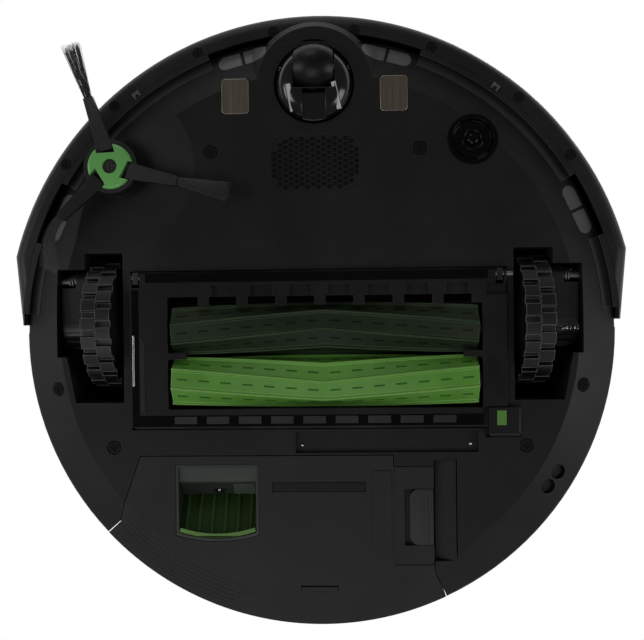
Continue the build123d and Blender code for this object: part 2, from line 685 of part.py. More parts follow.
# Caster swivel: domed block with a slot for the wheel and a stem in the chassis
CASTER_WHEEL_Y = CASTER_Y - CASTER_TRAIL
with BuildPart() as caster_swivel:
    with BuildSketch(Plane((0, CASTER_Y, 0), x_dir=(1, 0, 0), z_dir=(0, -1, 0))):
        with BuildLine():
            Polyline(
                (SWIVEL_R, RIDE + 1), (SWIVEL_R, CASTER_TOP - 14), (SWIVEL_R - 8, CASTER_TOP - 0.4),
                (SWIVEL_STEM_R, CASTER_TOP - 0.4), (SWIVEL_STEM_R, CASTER_TOP + 8), (0, CASTER_TOP + 8),
                (0, RIDE - 6.5), (SWIVEL_R - 10, RIDE - 6.5),
            )
            ThreePointArc((SWIVEL_R - 10, RIDE - 6.5), (SWIVEL_R - 3.2, RIDE - 3.6), (SWIVEL_R, RIDE + 1))
        make_face()
    revolve(axis=Axis((0, CASTER_Y, 0), (0, 0, 1)))
    rod(-CASTER_W / 2 - 0.6, CASTER_W / 2 + 0.6, CASTER_WHEEL_Y, CASTER_R, CASTER_R + 1, mode=Mode.SUBTRACT)
    block(
        -CASTER_W / 2 - 0.6, CASTER_W / 2 + 0.6, CASTER_Y - SWIVEL_R - 1, CASTER_WHEEL_Y,
        0, CASTER_R + 8, mode=Mode.SUBTRACT,
    )
    block(-6.2, 6.2, CASTER_Y + 4, CASTER_Y + 2 * SWIVEL_R, 0, RIDE - 1, mode=Mode.SUBTRACT)
    rod(-SWIVEL_R, SWIVEL_R, CASTER_WHEEL_Y, CASTER_R, CASTER_AXLE_R + FIT, mode=Mode.SUBTRACT)
save(caster_swivel, "caster_swivel")

with BuildPart() as caster_wheel:
    with BuildSketch(Plane.XZ.offset(-CASTER_WHEEL_Y)):
        with BuildLine():
            edge_z = 2 * CASTER_R - CASTER_CROWN
            Polyline(
                (-CASTER_W / 2, edge_z), (-CASTER_W / 2, CASTER_R + CASTER_AXLE_R + FIT),
                (CASTER_W / 2, CASTER_R + CASTER_AXLE_R + FIT), (CASTER_W / 2, edge_z),
            )
            ThreePointArc((CASTER_W / 2, edge_z), (0, 2 * CASTER_R), (-CASTER_W / 2, edge_z))
        make_face()
    revolve(axis=Axis((0, CASTER_WHEEL_Y, CASTER_R), (1, 0, 0)))
save(caster_wheel, "caster_wheel")

with BuildPart() as caster_axle:
    rod(-CASTER_W / 2 - 5, CASTER_W / 2 + 5, CASTER_WHEEL_Y, CASTER_R, CASTER_AXLE_R)
save(caster_axle, "caster_axle")


def brush_plane(angle, reach, z):
    """Plane across a brush arm at a distance from the hub."""
    x = BRUSH_X + reach * cos(radians(angle))
    y = BRUSH_Y + reach * sin(radians(angle))
    out = (cos(radians(angle)), sin(radians(angle)), 0)
    return Plane((x, y, z), x_dir=(-out[1], out[0], 0), z_dir=out)


# Side brush: cup round the hub cap with three drooping rubber arms
with BuildPart() as brush_arms:
    post(BRUSH_X, BRUSH_Y, HUB_LOW + 1.6, HUB_HIGH + 3.4, RING_R)
    post(BRUSH_X, BRUSH_Y, 0, HUB_HIGH, HUB_R, mode=Mode.SUBTRACT)
    for angle in ARM_ANGLES:
        with BuildSketch(brush_plane(angle, ARM_ROOT, HUB_HIGH - 1.2)):
            Rectangle(ARM_ROOT_W, 3.4)
        with BuildSketch(brush_plane(angle, ARM_REACH, ARM_TIP_Z)):
            Rectangle(ARM_TIP_W, 3.2)
        loft()
    post(BRUSH_X, BRUSH_Y, 0, 3 * HUB_HIGH, SHAFT_R, mode=Mode.SUBTRACT)
save(brush_arms, "brush_arms")

with BuildPart() as brush_bristles:
    for angle in ARM_ANGLES:
        with BuildSketch(brush_plane(angle, ARM_REACH, ARM_TIP_Z)):
            Rectangle(4.2, 2.4)
        with BuildSketch(brush_plane(angle, TUFT_REACH, 2.1)):
            Rectangle(9.5, 2.0)
        loft()
save(brush_bristles, "brush_bristles")

# Coloured hub cap: screw well in its middle, and a slanted notch for the root of each arm
with BuildPart() as brush_hub:
    post(BRUSH_X, BRUSH_Y, HUB_LOW, HUB_HIGH, HUB_R - 0.1)
    fillet(brush_hub.faces().sort_by(Axis.Z)[0].edges(), 1.6)
    post(BRUSH_X, BRUSH_Y, 0, HUB_HIGH - 1.6, SHAFT_R, mode=Mode.SUBTRACT)
    post(BRUSH_X, BRUSH_Y, 0, HUB_HIGH + 1, SCREW_R + 0.1, mode=Mode.SUBTRACT)
    half = ARM_ROOT_W / 2 + 0.4
    for angle in ARM_ANGLES:
        with BuildSketch(Plane((BRUSH_X, BRUSH_Y, 0), x_dir=(cos(radians(angle)), sin(radians(angle)), 0))):
            Polygon(
                (ARM_ROOT - 2.9, half), (ARM_ROOT - 0.4, -half), (2 * HUB_R, -half), (2 * HUB_R, half),
                align=None,
            )
        extrude(amount=2 * HUB_HIGH, mode=Mode.SUBTRACT)
save(brush_hub, "brush_hub")

with BuildPart() as brush_screw:
    post(BRUSH_X, BRUSH_Y, HUB_HIGH - 3.2, HUB_HIGH - 1.6, SCREW_HEAD_R)
    post(BRUSH_X, BRUSH_Y, HUB_HIGH - 1.7, HUB_HIGH + 6, SCREW_R)
    with Locations((BRUSH_X, BRUSH_Y, HUB_HIGH - 3.2)):
        Box(4.2, 0.9, 1.6, mode=Mode.SUBTRACT)
        Box(0.9, 4.2, 1.6, mode=Mode.SUBTRACT)
save(brush_screw, "brush_screw")

with BuildPart() as brush_shaft:
    post(BRUSH_X, BRUSH_Y, HUB_HIGH + 0.1, DECK_Z + DISH_RISE + 9, SHAFT_R - 0.02)
    post(BRUSH_X, BRUSH_Y, HUB_HIGH, HUB_HIGH + 6.2, SCREW_R + 0.02, mode=Mode.SUBTRACT)
save(brush_shaft, "brush_shaft")

with BuildPart() as brush_gearbox:
    post(BRUSH_X, BRUSH_Y, 0, 46, 10)
    post(BRUSH_X + 24, BRUSH_Y + 12, 0, 40, 11)
    add(under_form(DECK_LIFT + 0.2, LID_Z), mode=Mode.INTERSECT)
    post(BRUSH_X, BRUSH_Y, 0, DECK_Z + DISH_RISE + 9.5, SHAFT_R + FIT, mode=Mode.SUBTRACT)
save(brush_gearbox, "brush_gearbox")

# Cleaning-head housing: open box over the rollers with hinge lugs for the frame
LUG_XS = ((HEAD_RIGHT + 2.5, HEAD_RIGHT + 5.5), (HEAD_LEFT - 6, HEAD_LEFT - 3))
with BuildPart() as head_housing:
    block(
        HEAD_RIGHT + 0.4, HEAD_LEFT - 0.4, HEAD_FRONT + 0.4, HEAD_BACK - 0.4,
        FRAME_HIGH + 0.4, HEAD_TOP - 0.4,
    )
    fillet(head_housing.edges().filter_by(Axis.Z), 3)
    block(
        HEAD_RIGHT + 2.2, HEAD_LEFT - 2.2, HEAD_FRONT + 2.2, HEAD_BACK - 2.2, 0, HEAD_TOP - 2.2,
        mode=Mode.SUBTRACT,
    )
    block(DUCT_X0, DUCT_X1, HEAD_BACK - 4, HEAD_BACK + 4, DUCT_Z0, DUCT_Z1, mode=Mode.SUBTRACT)
    for x0, x1 in LUG_XS:
        block(x0, x1, FRAME_HINGE_Y - 3, FRAME_HINGE_Y + 3.5, FRAME_LOW + 0.2, FRAME_HIGH + 8)
        block(x0, x1, HEAD_FRONT + 1, FRAME_HINGE_Y, FRAME_HIGH + 1, FRAME_HIGH + 8)
        rod(x0 - 1, x1 + 1, FRAME_HINGE_Y, FRAME_HINGE_Z, FRAME_PIN_R + FIT, mode=Mode.SUBTRACT)
save(head_housing, "head_housing")

ROLLER_YS = (ROLLER_FRONT_Y, ROLLER_BACK_Y)
with BuildPart() as head_gearbox:
    block(
        HEAD_RIGHT + 2.4, ROLLER_X0 - 3, ROLLER_FRONT_Y - 15, ROLLER_BACK_Y + 15,
        FRAME_HIGH + 0.6, HEAD_TOP - 6,
    )
    fillet(head_gearbox.edges().filter_by(Axis.X), 4)
    for y in ROLLER_YS:
        rod(ROLLER_X0 - 9.4, ROLLER_X0, y, ROLLER_Z, ROLLER_SHAFT_R + FIT, mode=Mode.SUBTRACT)
save(head_gearbox, "head_gearbox")

with BuildPart() as bearing_block:
    block(
        ROLLER_X1 + 2.6, HEAD_LEFT - 2.4, ROLLER_FRONT_Y - 15, ROLLER_BACK_Y + 15,
        FRAME_HIGH + 0.6, HEAD_TOP - 6,
    )
    fillet(bearing_block.edges().filter_by(Axis.X), 4)
    for y in ROLLER_YS:
        rod(ROLLER_X1, ROLLER_X1 + 9, y, ROLLER_Z, ROLLER_SHAFT_R + FIT, mode=Mode.SUBTRACT)
save(bearing_block, "bearing_block")


def roller(name, y, lean):
    """One roller: core with end shafts, and a rubber sleeve with chevron fins."""
    with BuildPart() as core:
        rod(ROLLER_X0, ROLLER_X1, y, ROLLER_Z, ROLLER_CORE_R)
        rod(ROLLER_X0 - 9, ROLLER_X1 + 8.5, y, ROLLER_Z, ROLLER_SHAFT_R)
    save(core, f"{name}_roller_core")

    step = 360 / ROLLER_SIDES
    fin_angle = 5.0
    with BuildPart() as sleeve:
        for part_way in (-1, -0.5, 0, 0.5, 1):
            x = (ROLLER_X0 + ROLLER_X1) / 2 + part_way * (ROLLER_X1 - ROLLER_X0 - 2) / 2
            turn = lean * ROLLER_TWIST * abs(part_way)
            corners = []
            for side in range(ROLLER_SIDES):
                for shift, radius in (
                    (-fin_angle, ROLLER_R - ROLLER_FIN), (-1.6, ROLLER_R), (1.6, ROLLER_R),
                    (fin_angle, ROLLER_R - ROLLER_FIN),
                ):
                    angle = radians(side * step + shift + turn)
                    corners.append((radius * cos(angle), radius * sin(angle)))
            with BuildSketch(Plane.YZ.offset(x)):
                with Locations((y, ROLLER_Z)):
                    Polygon(*corners)
        loft(ruled=True)
        rod(ROLLER_X0 - 1, ROLLER_X1 + 1, y, ROLLER_Z, ROLLER_CORE_R + FIT, mode=Mode.SUBTRACT)
    save(sleeve, f"{name}_roller_sleeve")


roller("front", ROLLER_FRONT_Y, 1)
roller("back", ROLLER_BACK_Y, -1)

# Hinged roller frame: bars round the rollers, comb in front, prongs between the rollers
SIDE_RIGHT = ROLLER_X0 - 1.2
SIDE_LEFT = ROLLER_X1 + 1.2
with BuildPart() as roller_frame:
    block(HEAD_RIGHT + 1, HEAD_LEFT - 1, FRAME_HINGE_Y - 2.6, ROLLER_BACK_Y + 24, FRAME_LOW, FRAME_HIGH)
    front_edges = roller_frame.edges().filter_by(Axis.X).sort_by(Axis.Y)[:2]
    fillet(front_edges, 2.2)
    block(
        SIDE_RIGHT, SIDE_LEFT, ROLLER_FRONT_Y - 17.7, ROLLER_BACK_Y + ROLLER_R + 0.3,
        0, RIM_Z, mode=Mode.SUBTRACT,
    )
    block(LATCH_X0 - 3.7, HEAD_LEFT, LATCH_Y0 - 1, HEAD_BACK, 0, FRAME_HIGH - 1.7, mode=Mode.SUBTRACT)
    for x0, x1 in LUG_XS:
        block(x0 - 0.7, x1 + 0.7, HEAD_FRONT, FRAME_HINGE_Y + 5.3, 0, RIM_Z, mode=Mode.SUBTRACT)
    for tooth in range(COMB_TEETH):
        x = COMB_X0 + tooth * COMB_PITCH
        block(x - 3, x + 3, ROLLER_FRONT_Y - 19, ROLLER_FRONT_Y - 12.8, FRAME_LOW, FRAME_HIGH - 2.5)
        block(
            x + 4.5, x + COMB_PITCH - 4.5, ROLLER_FRONT_Y - 24, ROLLER_FRONT_Y - 17,
            0, FRAME_LOW + 2.2, mode=Mode.SUBTRACT,
        )
    middle_y = (ROLLER_FRONT_Y + ROLLER_BACK_Y) / 2
    block(SIDE_RIGHT - 2, SIDE_RIGHT + 10, middle_y - 1.7, middle_y + 1.7, FRAME_LOW, FRAME_LOW + 2)
    block(SIDE_LEFT - 10, SIDE_LEFT + 2, middle_y - 1.7, middle_y + 1.7, FRAME_LOW, FRAME_LOW + 2)
    for x0, x1 in LUG_XS:
        rod(x0 - 2.5, x1 + 6, FRAME_HINGE_Y, FRAME_HINGE_Z, FRAME_PIN_R, mode=Mode.SUBTRACT)
save(roller_frame, "roller_frame")

with BuildPart() as frame_pins:
    for x0, x1 in LUG_XS:
        rod(x0 - 1.4, x1 + 5.5, FRAME_HINGE_Y, FRAME_HINGE_Z, FRAME_PIN_R - 0.02)
save(frame_pins, "frame_pins")

# Frame latch with its coloured marker
with BuildPart() as frame_latch:
    block(LATCH_X0, LATCH_X1, LATCH_Y0, LATCH_Y1, FRAME_LOW + 0.6, FRAME_HIGH - 2)
    fillet(frame_latch.edges().filter_by(Axis.Z), 1.5)
    block(95.8, 100.9, 49, 57, 0, FRAME_LOW + 1.4, mode=Mode.SUBTRACT)
save(frame_latch, "frame_latch")

with BuildPart() as latch_marker:
    block(95.9, 100.8, 49.1, 56.9, FRAME_LOW + 0.4, FRAME_LOW + 1.35)
save(latch_marker, "latch_marker")

# Duct from the cleaning head to the bin
with BuildPart() as suction_duct:
    block(DUCT_X0 - WALL, DUCT_X1 + WALL, HEAD_BACK - 0.1, BIN_FRONT - 0.4, DUCT_Z0 - WALL, DUCT_Z1 + WALL)
    block(DUCT_X0, DUCT_X1, HEAD_BACK - 4, BIN_FRONT + 4, DUCT_Z0, DUCT_Z1, mode=Mode.SUBTRACT)
save(suction_duct, "suction_duct")

with BuildPart() as head_motor:
    rod(-90, -42, 20, HEAD_TOP + WALL + 11.2, 11)
    rod(-94, -90, 20, HEAD_TOP + WALL + 11.2, 4)
    for x in (-86, -48):
        block(x - 3, x + 3, 10, 30, HEAD_TOP + WALL + 0.2, HEAD_TOP + WALL + 8)
save(head_motor, "head_motor")

# Room inside the dust bin
with BuildPart() as bin_room:
    extrude(bin_outline(0, -BIN_WALL), amount=BIN_TOP + 5)
    add(bin_form(BIN_WALL + 0.2, BIN_WALL, BIN_TOP + 5), mode=Mode.INTERSECT)

# Dust bin tub with its evacuation port, inlet and latch pocket
with BuildPart() as bin_tub:
    extrude(bin_outline(0, 0), amount=BIN_TOP)
    add(bin_form(0, 0, BIN_TOP), mode=Mode.INTERSECT)
    add(bin_room.part, mode=Mode.SUBTRACT)
    block(TAB_X0 - TAB_TRAVEL - 2, BIN_RIGHT, TAB_Y0 - 2, TAB_Y1 + 2, RIDE, TAB_HIGH + 2.3)
    block(
        TAB_X0 - TAB_TRAVEL - 0.4, BIN_RIGHT + 4, TAB_Y0 - 0.3, TAB_Y1 + 0.3,
        0, TAB_HIGH + 0.4, mode=Mode.SUBTRACT,
    )
    block(40.4, BIN_RIGHT + 1, 79.8, 133, 0, RIDE + 0.7, mode=Mode.SUBTRACT)
    extrude(port_outline(0, 0), amount=DOOR_HINGE_Z, mode=Mode.SUBTRACT)
    block(DUCT_X0, DUCT_X1, BIN_FRONT - 4, BIN_FRONT + 4, DUCT_Z0, DUCT_Z1, mode=Mode.SUBTRACT)
    block(BIN_RIGHT - 4, BIN_RIGHT + 4, FAN_Y - 5, FAN_Y + 5, 41, 54, mode=Mode.SUBTRACT)
    block(-25.5, 25.5, 87.7, 93.1, 0, RIDE + 0.8, mode=Mode.SUBTRACT)
    block(30, 38.9, 81.8, 127.4, RIDE - 0.7, RIDE + 1)
    block(-10.2, 10.2, 144, 147.6, 0, RIDE + 4, mode=Mode.SUBTRACT)
save(bin_tub, "bin_tub")

with BuildPart() as bin_lid:
    extrude(bin_outline(BIN_TOP + 0.1, -0.2), amount=BIN_LID_T)
    add(bin_form(0, 0.2, BAY_TOP), mode=Mode.INTERSECT)
save(bin_lid, "bin_lid")

# Pleated filter in its frame beside the fan opening
with BuildPart() as bin_filter:
    wall_x = BIN_RIGHT - BIN_WALL
    block(wall_x - 14, wall_x - 0.2, 86, 130, 24, BIN_TOP - 0.2)
    for pleat in range(10):
        y = 89 + pleat * 4
        block(wall_x - 15, wall_x - 6, y, y + 2, 28, BIN_TOP - 5, mode=Mode.SUBTRACT)
    block(wall_x - 14, wall_x - 0.2, 84, 88, RIDE + BIN_WALL + 0.4, 25)
save(bin_filter, "bin_filter")

# Evacuation port frame: chute walls and a sloping front plate
with BuildPart() as port_frame:
    extrude(port_outline(RIDE + 0.3, 0.2), amount=24)
    extrude(port_outline(0, 0.2 + PORT_WALL), amount=60, mode=Mode.SUBTRACT)
    with BuildSketch(Plane.YZ.offset(PORT_X0)):
        Polygon(
            (PORT_Y0, RIDE), (PORT_Y1 + 9, RIDE), (PORT_Y1 + 9, RIDE + 4.5),
            (DOOR_HINGE_Y + 3, DOOR_HINGE_Z + 4.5), (PORT_Y0, DOOR_HINGE_Z + 4.5),
        )
    extrude(amount=PORT_X1 - PORT_X0, mode=Mode.INTERSECT)
    with BuildSketch(Plane.YZ.offset(PORT_X0 + 0.4)):
        Polygon(
            (PORT_Y0 + 0.6, RIDE + 2), (PORT_Y0 + 10, RIDE + 3), (DOOR_HINGE_Y - 1.8, DOOR_HINGE_Z),
            (DOOR_HINGE_Y - 1.8, DOOR_HINGE_Z + 2), (PORT_Y0 + 9, RIDE + 5), (PORT_Y0 + 0.6, RIDE + 4),
        )
    extrude(amount=PORT_X1 - PORT_X0 - 0.8)
    rod(PORT_X0 - 1, PORT_X1 + 1, DOOR_HINGE_Y, DOOR_HINGE_Z, DOOR_PIN_R + FIT, mode=Mode.SUBTRACT)
save(port_frame, "port_frame")

# Evacuation door: ribbed flap closing the chute
with BuildPart() as evac_door:
    x0 = PORT_X0 + PORT_WALL + 0.6
    x1 = PORT_X1 - PORT_WALL - 0.6
    run = DOOR_LIP_Y - DOOR_HINGE_Y
    fall = DOOR_LIP_Z - DOOR_HINGE_Z
    length = hypot(run, fall)
    flap = Plane((0, DOOR_HINGE_Y, DOOR_HINGE_Z), x_dir=(1, 0, 0), z_dir=(0, -fall / length, run / length))
    with BuildSketch(flap):
        with Locations(((x0 + x1) / 2, length / 2)):
            Rectangle(x1 - x0, length)
    extrude(amount=DOOR_T)
    with BuildSketch(flap):
        for rib in range(DOOR_RIBS):
            with Locations((x0 + 3 + rib * (x1 - x0 - 6) / (DOOR_RIBS - 1), length / 2 + 1)):
                Rectangle(1, length - 6)
    extrude(amount=-1)
    with BuildSketch(flap):
        with Locations(((x0 + x1) / 2, length - 1)):
            Rectangle(x1 - x0, 2)
    extrude(amount=-1.6)
    extrude(port_outline(0, PORT_WALL + 0.6), amount=HEIGHT, mode=Mode.INTERSECT)
    rod(PORT_X0 + 0.4, PORT_X1 - 0.4, DOOR_HINGE_Y, DOOR_HINGE_Z, DOOR_PIN_R)
save(evac_door, "evac_door")

with BuildPart() as release_tab:
    block(TAB_X0, TAB_X1, TAB_Y0, TAB_Y1, RIDE + 0.5, TAB_HIGH)
    fillet(release_tab.edges().filter_by(Axis.Z).sort_by(Axis.X)[:2], 5)
save(release_tab, "release_tab")

# Inner pieces carried by the chassis
with BuildPart() as battery_pack:
    block(
        -BATTERY_W / 2, BATTERY_W / 2, BATTERY_Y - BATTERY_L / 2, BATTERY_Y + BATTERY_L / 2,
        DECK_Z + 0.2, DECK_Z + BATTERY_H,
    )
    fillet(battery_pack.edges().filter_by(Axis.Z), 4)
save(battery_pack, "battery_pack")

with BuildPart() as main_board:
    board_back = BOARD_Y + BOARD_L / 2
    block(-BOARD_W / 2, BOARD_W / 2, board_back - BOARD_L, board_back, BOARD_Z + 0.1, BOARD_Z + 1.7)
    chips = ((-20, -10, 24, 24, 2), (22, 8, 16, 12, 3), (-34, 18, 12, 10, 8), (36, -20, 14, 10, 6))
    for x, y, w, l, h in chips:
        chip_y = BOARD_Y + y - l / 2
        block(x - w / 2, x + w / 2, chip_y, chip_y + l, BOARD_Z + 1.6, BOARD_Z + 1.6 + h)
save(main_board, "main_board")

with BuildPart() as fan_housing:
    post(FAN_X, FAN_Y, 0, FAN_TOP, FAN_R)
    block(BIN_RIGHT + 1.2, FAN_X - 8, FAN_Y - 6, FAN_Y + 6, 40, 55)
    add(under_form(DECK_LIFT + 0.2, LID_Z), mode=Mode.INTERSECT)
    post(FAN_X, FAN_Y, 38, FAN_TOP - 2, FAN_R - 2, mode=Mode.SUBTRACT)
    block(BIN_RIGHT, FAN_X - 8, FAN_Y - 4.2, FAN_Y + 4.2, 42, 53, mode=Mode.SUBTRACT)
    post(FAN_X, FAN_Y, 30, 40, 1.5 + FIT, mode=Mode.SUBTRACT)
save(fan_housing, "fan_housing")

with BuildPart() as fan_impeller:
    post(FAN_X, FAN_Y, 38.6, 40.4, FAN_R - 3)
    post(FAN_X, FAN_Y, 31, 54, 1.5)
    post(FAN_X, FAN_Y, 40, 52, 4)
    with BuildSketch(Plane.XY.offset(40)):
        with Locations((FAN_X, FAN_Y)):
            with PolarLocations((FAN_R + 1) / 2, 9):
                Rectangle(FAN_R - 7, 1.2, rotation=24)
            Circle(FAN_R - 3, mode=Mode.INTERSECT)
    extrude(amount=11)
save(fan_impeller, "fan_impeller")
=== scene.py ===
"""Robot vacuum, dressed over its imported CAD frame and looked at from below."""
from math import cos, pi, radians, sin

import bmesh
import bpy
from mathutils import Matrix, Vector


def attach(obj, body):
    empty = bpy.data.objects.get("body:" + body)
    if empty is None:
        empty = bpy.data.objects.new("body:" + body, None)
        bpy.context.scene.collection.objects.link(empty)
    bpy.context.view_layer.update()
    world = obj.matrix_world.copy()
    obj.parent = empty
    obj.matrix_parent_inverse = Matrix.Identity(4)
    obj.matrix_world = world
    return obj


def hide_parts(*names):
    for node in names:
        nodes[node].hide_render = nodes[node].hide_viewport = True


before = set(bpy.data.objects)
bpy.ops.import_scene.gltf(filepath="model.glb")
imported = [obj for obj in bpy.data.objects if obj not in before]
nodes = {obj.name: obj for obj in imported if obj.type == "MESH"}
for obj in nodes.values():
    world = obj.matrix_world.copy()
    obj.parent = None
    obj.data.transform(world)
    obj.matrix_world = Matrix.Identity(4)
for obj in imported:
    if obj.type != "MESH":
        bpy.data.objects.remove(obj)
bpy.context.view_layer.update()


# Bottom cover, chassis and finger recess: charcoal ABS mouldings with a fine spark-eroded grain.
# The cover is screwed up against the chassis, and carpets and thresholds rub its edges paler.
# A nose round the caster belongs to the same moulding. Four paler strips along the bevelled rim are painted light,
# laid over the shadow that the bumper lip casts on the bevel.
MM = 0.001


def node(tree, kind, settings=None, **sockets):
    """Add a node, set its properties, and link or fill its sockets (i0, i1 by number, else by name)."""
    made = tree.nodes.new(kind)
    for key, value in (settings or {}).items():
        setattr(made, key, value)
    for key, value in sockets.items():
        numbered = key[0] == "i" and key[1:].isdigit()
        socket = made.inputs[int(key[1:])] if numbered else made.inputs[key.replace("_", " ")]
        if isinstance(value, bpy.types.NodeSocket):
            tree.links.new(value, socket)
        else:
            socket.default_value = value
    return made


def calc(tree, operation, a, b=0.0, clamp=False):
    """Value of one arithmetic step."""
    made = node(tree, "ShaderNodeMath", {"operation": operation, "use_clamp": clamp}, i0=a, i1=b)
    return made.outputs[0]


def tint(tree, share, a, b):
    """Colour between a and b."""
    return node(tree, "ShaderNodeMix", {"data_type": "RGBA"}, i0=share, i6=a, i7=b).outputs[2]


def group(name, inputs, outputs):
    """Empty shader node group with named sockets."""
    tree = bpy.data.node_groups.new(name, "ShaderNodeTree")
    for label, kind in inputs:
        tree.interface.new_socket(label, in_out="INPUT", socket_type="NodeSocket" + kind)
    for label, kind in outputs:
        tree.interface.new_socket(label, in_out="OUTPUT", socket_type="NodeSocket" + kind)
    return tree, tree.nodes.new("NodeGroupInput").outputs, tree.nodes.new("NodeGroupOutput").inputs


moulded_grain, given, made = group(
    "moulded grain", [("Place", "Vector"), ("Grains per metre", "Float")], [("Height", "Float"), ("Tone", "Float")]
)
cells = node(
    moulded_grain, "ShaderNodeTexVoronoi", {"feature": "SMOOTH_F1"},
    Vector=given["Place"], Scale=given["Grains per metre"],
)
moulded_grain.links.new(cells.outputs["Distance"], made["Height"])
clouds = node(moulded_grain, "ShaderNodeTexNoise", Vector=given["Place"], Scale=38.0, Detail=5.0, Roughness=0.6)
moulded_grain.links.new(clouds.outputs["Fac"], made["Tone"])

# Edge mask: the paler edges it gives are wear on some finishes and painted highlights on the tyres, roller ribs and
# port flap.
rubbed_and_lit_edge, given, made = group("rubbed and lit edge", [("Radius", "Float")], [("Normal", "Vector"), ("Mask", "Float")])
rounded = node(rubbed_and_lit_edge, "ShaderNodeBevel", {"samples": 4}, Radius=given["Radius"]).outputs["Normal"]
facing = node(rubbed_and_lit_edge, "ShaderNodeNewGeometry").outputs["Normal"]
lined_up = node(rubbed_and_lit_edge, "ShaderNodeVectorMath", {"operation": "DOT_PRODUCT"}, i0=rounded, i1=facing)
turned = calc(rubbed_and_lit_edge, "SUBTRACT", 1.0, lined_up.outputs["Value"])
rubbed_and_lit_edge.links.new(rounded, made["Normal"])
rubbed_and_lit_edge.links.new(calc(rubbed_and_lit_edge, "MULTIPLY", turned, 6.0, True), made["Mask"])

house_dust, given, made = group("house dust", [("Place", "Vector")], [("Mask", "Float")])
drift = node(house_dust, "ShaderNodeTexNoise", Vector=given["Place"], Scale=21.0, Detail=7.0, Roughness=0.68)
film = node(house_dust, "ShaderNodeMapRange", Value=drift.outputs["Fac"], i1=0.46, i2=0.8).outputs[0]
specks = node(house_dust, "ShaderNodeTexVoronoi", {"feature": "F1"}, Vector=given["Place"], Scale=240.0)
near = node(house_dust, "ShaderNodeMapRange", Value=specks.outputs["Distance"], i1=0.13, i2=0.05).outputs[0]
lot = node(house_dust, "ShaderNodeSeparateColor", Color=specks.outputs["Color"]).outputs[0]
picked = calc(house_dust, "GREATER_THAN", lot, 0.86)
motes = calc(house_dust, "MULTIPLY", near, picked)
house_dust.links.new(calc(house_dust, "MAXIMUM", film, calc(house_dust, "MULTIPLY", motes, 0.8)), made["Mask"])


def rgb(red, green, blue):
    """Colour from screen values."""
    shares = (red, green, blue)
    linear = [c / 255 / 12.92 if c < 10 else ((c / 255 + 0.055) / 1.055) ** 2.4 for c in shares]
    return (*linear, 1)


def surface(name):
    """New material with its node tree, its shader and the piece's own coordinates."""
    material = bpy.data.materials.new(name)
    material.use_nodes = True
    tree = material.node_tree
    place = node(tree, "ShaderNodeTexCoord").outputs["Object"]
    return material, tree, tree.nodes["Principled BSDF"], place


def moulded(name, colour, rubbed_and_lit, roughness, grains, bump, dust=0.1, specular=0.25, edge=0.45, radius=0.4):
    """Moulded plastic or rubber: grain, cloudy tone, paler edges and a film of dust; the edges stand for rubbing on
    some finishes and are painted highlights on others.
    """
    material, tree, shader, place = surface(name)
    grain = node(tree, "ShaderNodeGroup", {"node_tree": moulded_grain}, Place=place, Grains_per_metre=grains)
    edges = node(tree, "ShaderNodeGroup", {"node_tree": rubbed_and_lit_edge}, Radius=radius * MM)
    film = node(tree, "ShaderNodeGroup", {"node_tree": house_dust}, Place=place)
    deep = tuple(0.72 * c for c in colour[:3]) + (1,)
    pale = tuple(1.3 * c for c in colour[:3]) + (1,)
    cloudy = tint(tree, grain.outputs["Tone"], deep, pale)
    worn_and_lit = tint(tree, calc(tree, "MULTIPLY", edges.outputs["Mask"], edge), cloudy, rubbed_and_lit)
    dusty = tint(tree, calc(tree, "MULTIPLY", film.outputs["Mask"], dust), worn_and_lit, rgb(112, 108, 102))
    tree.links.new(dusty, shader.inputs["Base Color"])
    spread = calc(tree, "MULTIPLY", calc(tree, "SUBTRACT", grain.outputs["Tone"], 0.5), 0.3)
    tree.links.new(calc(tree, "ADD", spread, roughness, True), shader.inputs["Roughness"])
    relief = node(
        tree, "ShaderNodeBump", Strength=bump, Distance=0.1 * MM,
        Height=grain.outputs["Height"], Normal=edges.outputs["Normal"],
    )
    tree.links.new(relief.outputs["Normal"], shader.inputs["Normal"])
    shader.inputs["Specular IOR Level"].default_value = specular
    return material


def dress(material, *names):
    """Give CAD nodes a finish."""
    for name in names:
        for slot in nodes[name].material_slots:
            slot.material = material


cover_black = moulded("cover black", rgb(18, 18, 18), rgb(62, 62, 61), 0.5, 2600, 0.3, 0.035)
chassis_black = moulded("chassis black", rgb(17, 17, 17), rgb(48, 48, 47), 0.56, 2200, 0.3, 0.05)
dress(cover_black, "bottom_cover")
dress(chassis_black, "chassis", "finger_recess")


def skin(mesh, rows, around=False):
    """Join rows of points into a closed skin, capped at its ends unless it runs around."""
    count = len(rows[0])
    for low, high in list(zip(rows, rows[1:])) + ([(rows[-1], rows[0])] if around else []):
        for i in range(count):
            j = (i + 1) % count
            mesh.faces.new((low[i], low[j], high[j], high[i]))
    if not around:
        mesh.faces.new(rows[0])
        mesh.faces.new(rows[-1])
    bmesh.ops.recalc_face_normals(mesh, faces=mesh.faces)


def swept_piece(name, section, centre, first, last, finish, body, steps=64):
    """Closed section of (radius, height) points in mm, swept about an upright axis between two angles."""
    mesh = bmesh.new()
    rows = []
    for i in range(steps + 1):
        angle = radians(first + (last - first) * i / steps)
        rows.append([
            mesh.verts.new((centre[0] + r * cos(angle), centre[1] + r * sin(angle), z)) for r, z in section
        ])
    skin(mesh, rows)
    bmesh.ops.transform(mesh, matrix=Matrix.Scale(MM, 4), verts=mesh.verts)
    return keep(mesh, name, finish, body)


def keep(mesh, name, finish, body):
    """Turn a finished bmesh into a piece that rides on a body."""
    data = bpy.data.meshes.new(name)
    mesh.to_mesh(data)
    mesh.free()
    data.materials.append(finish)
    piece = bpy.data.objects.new(name, data)
    bpy.context.scene.collection.objects.link(piece)
    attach(piece, body)
    return piece


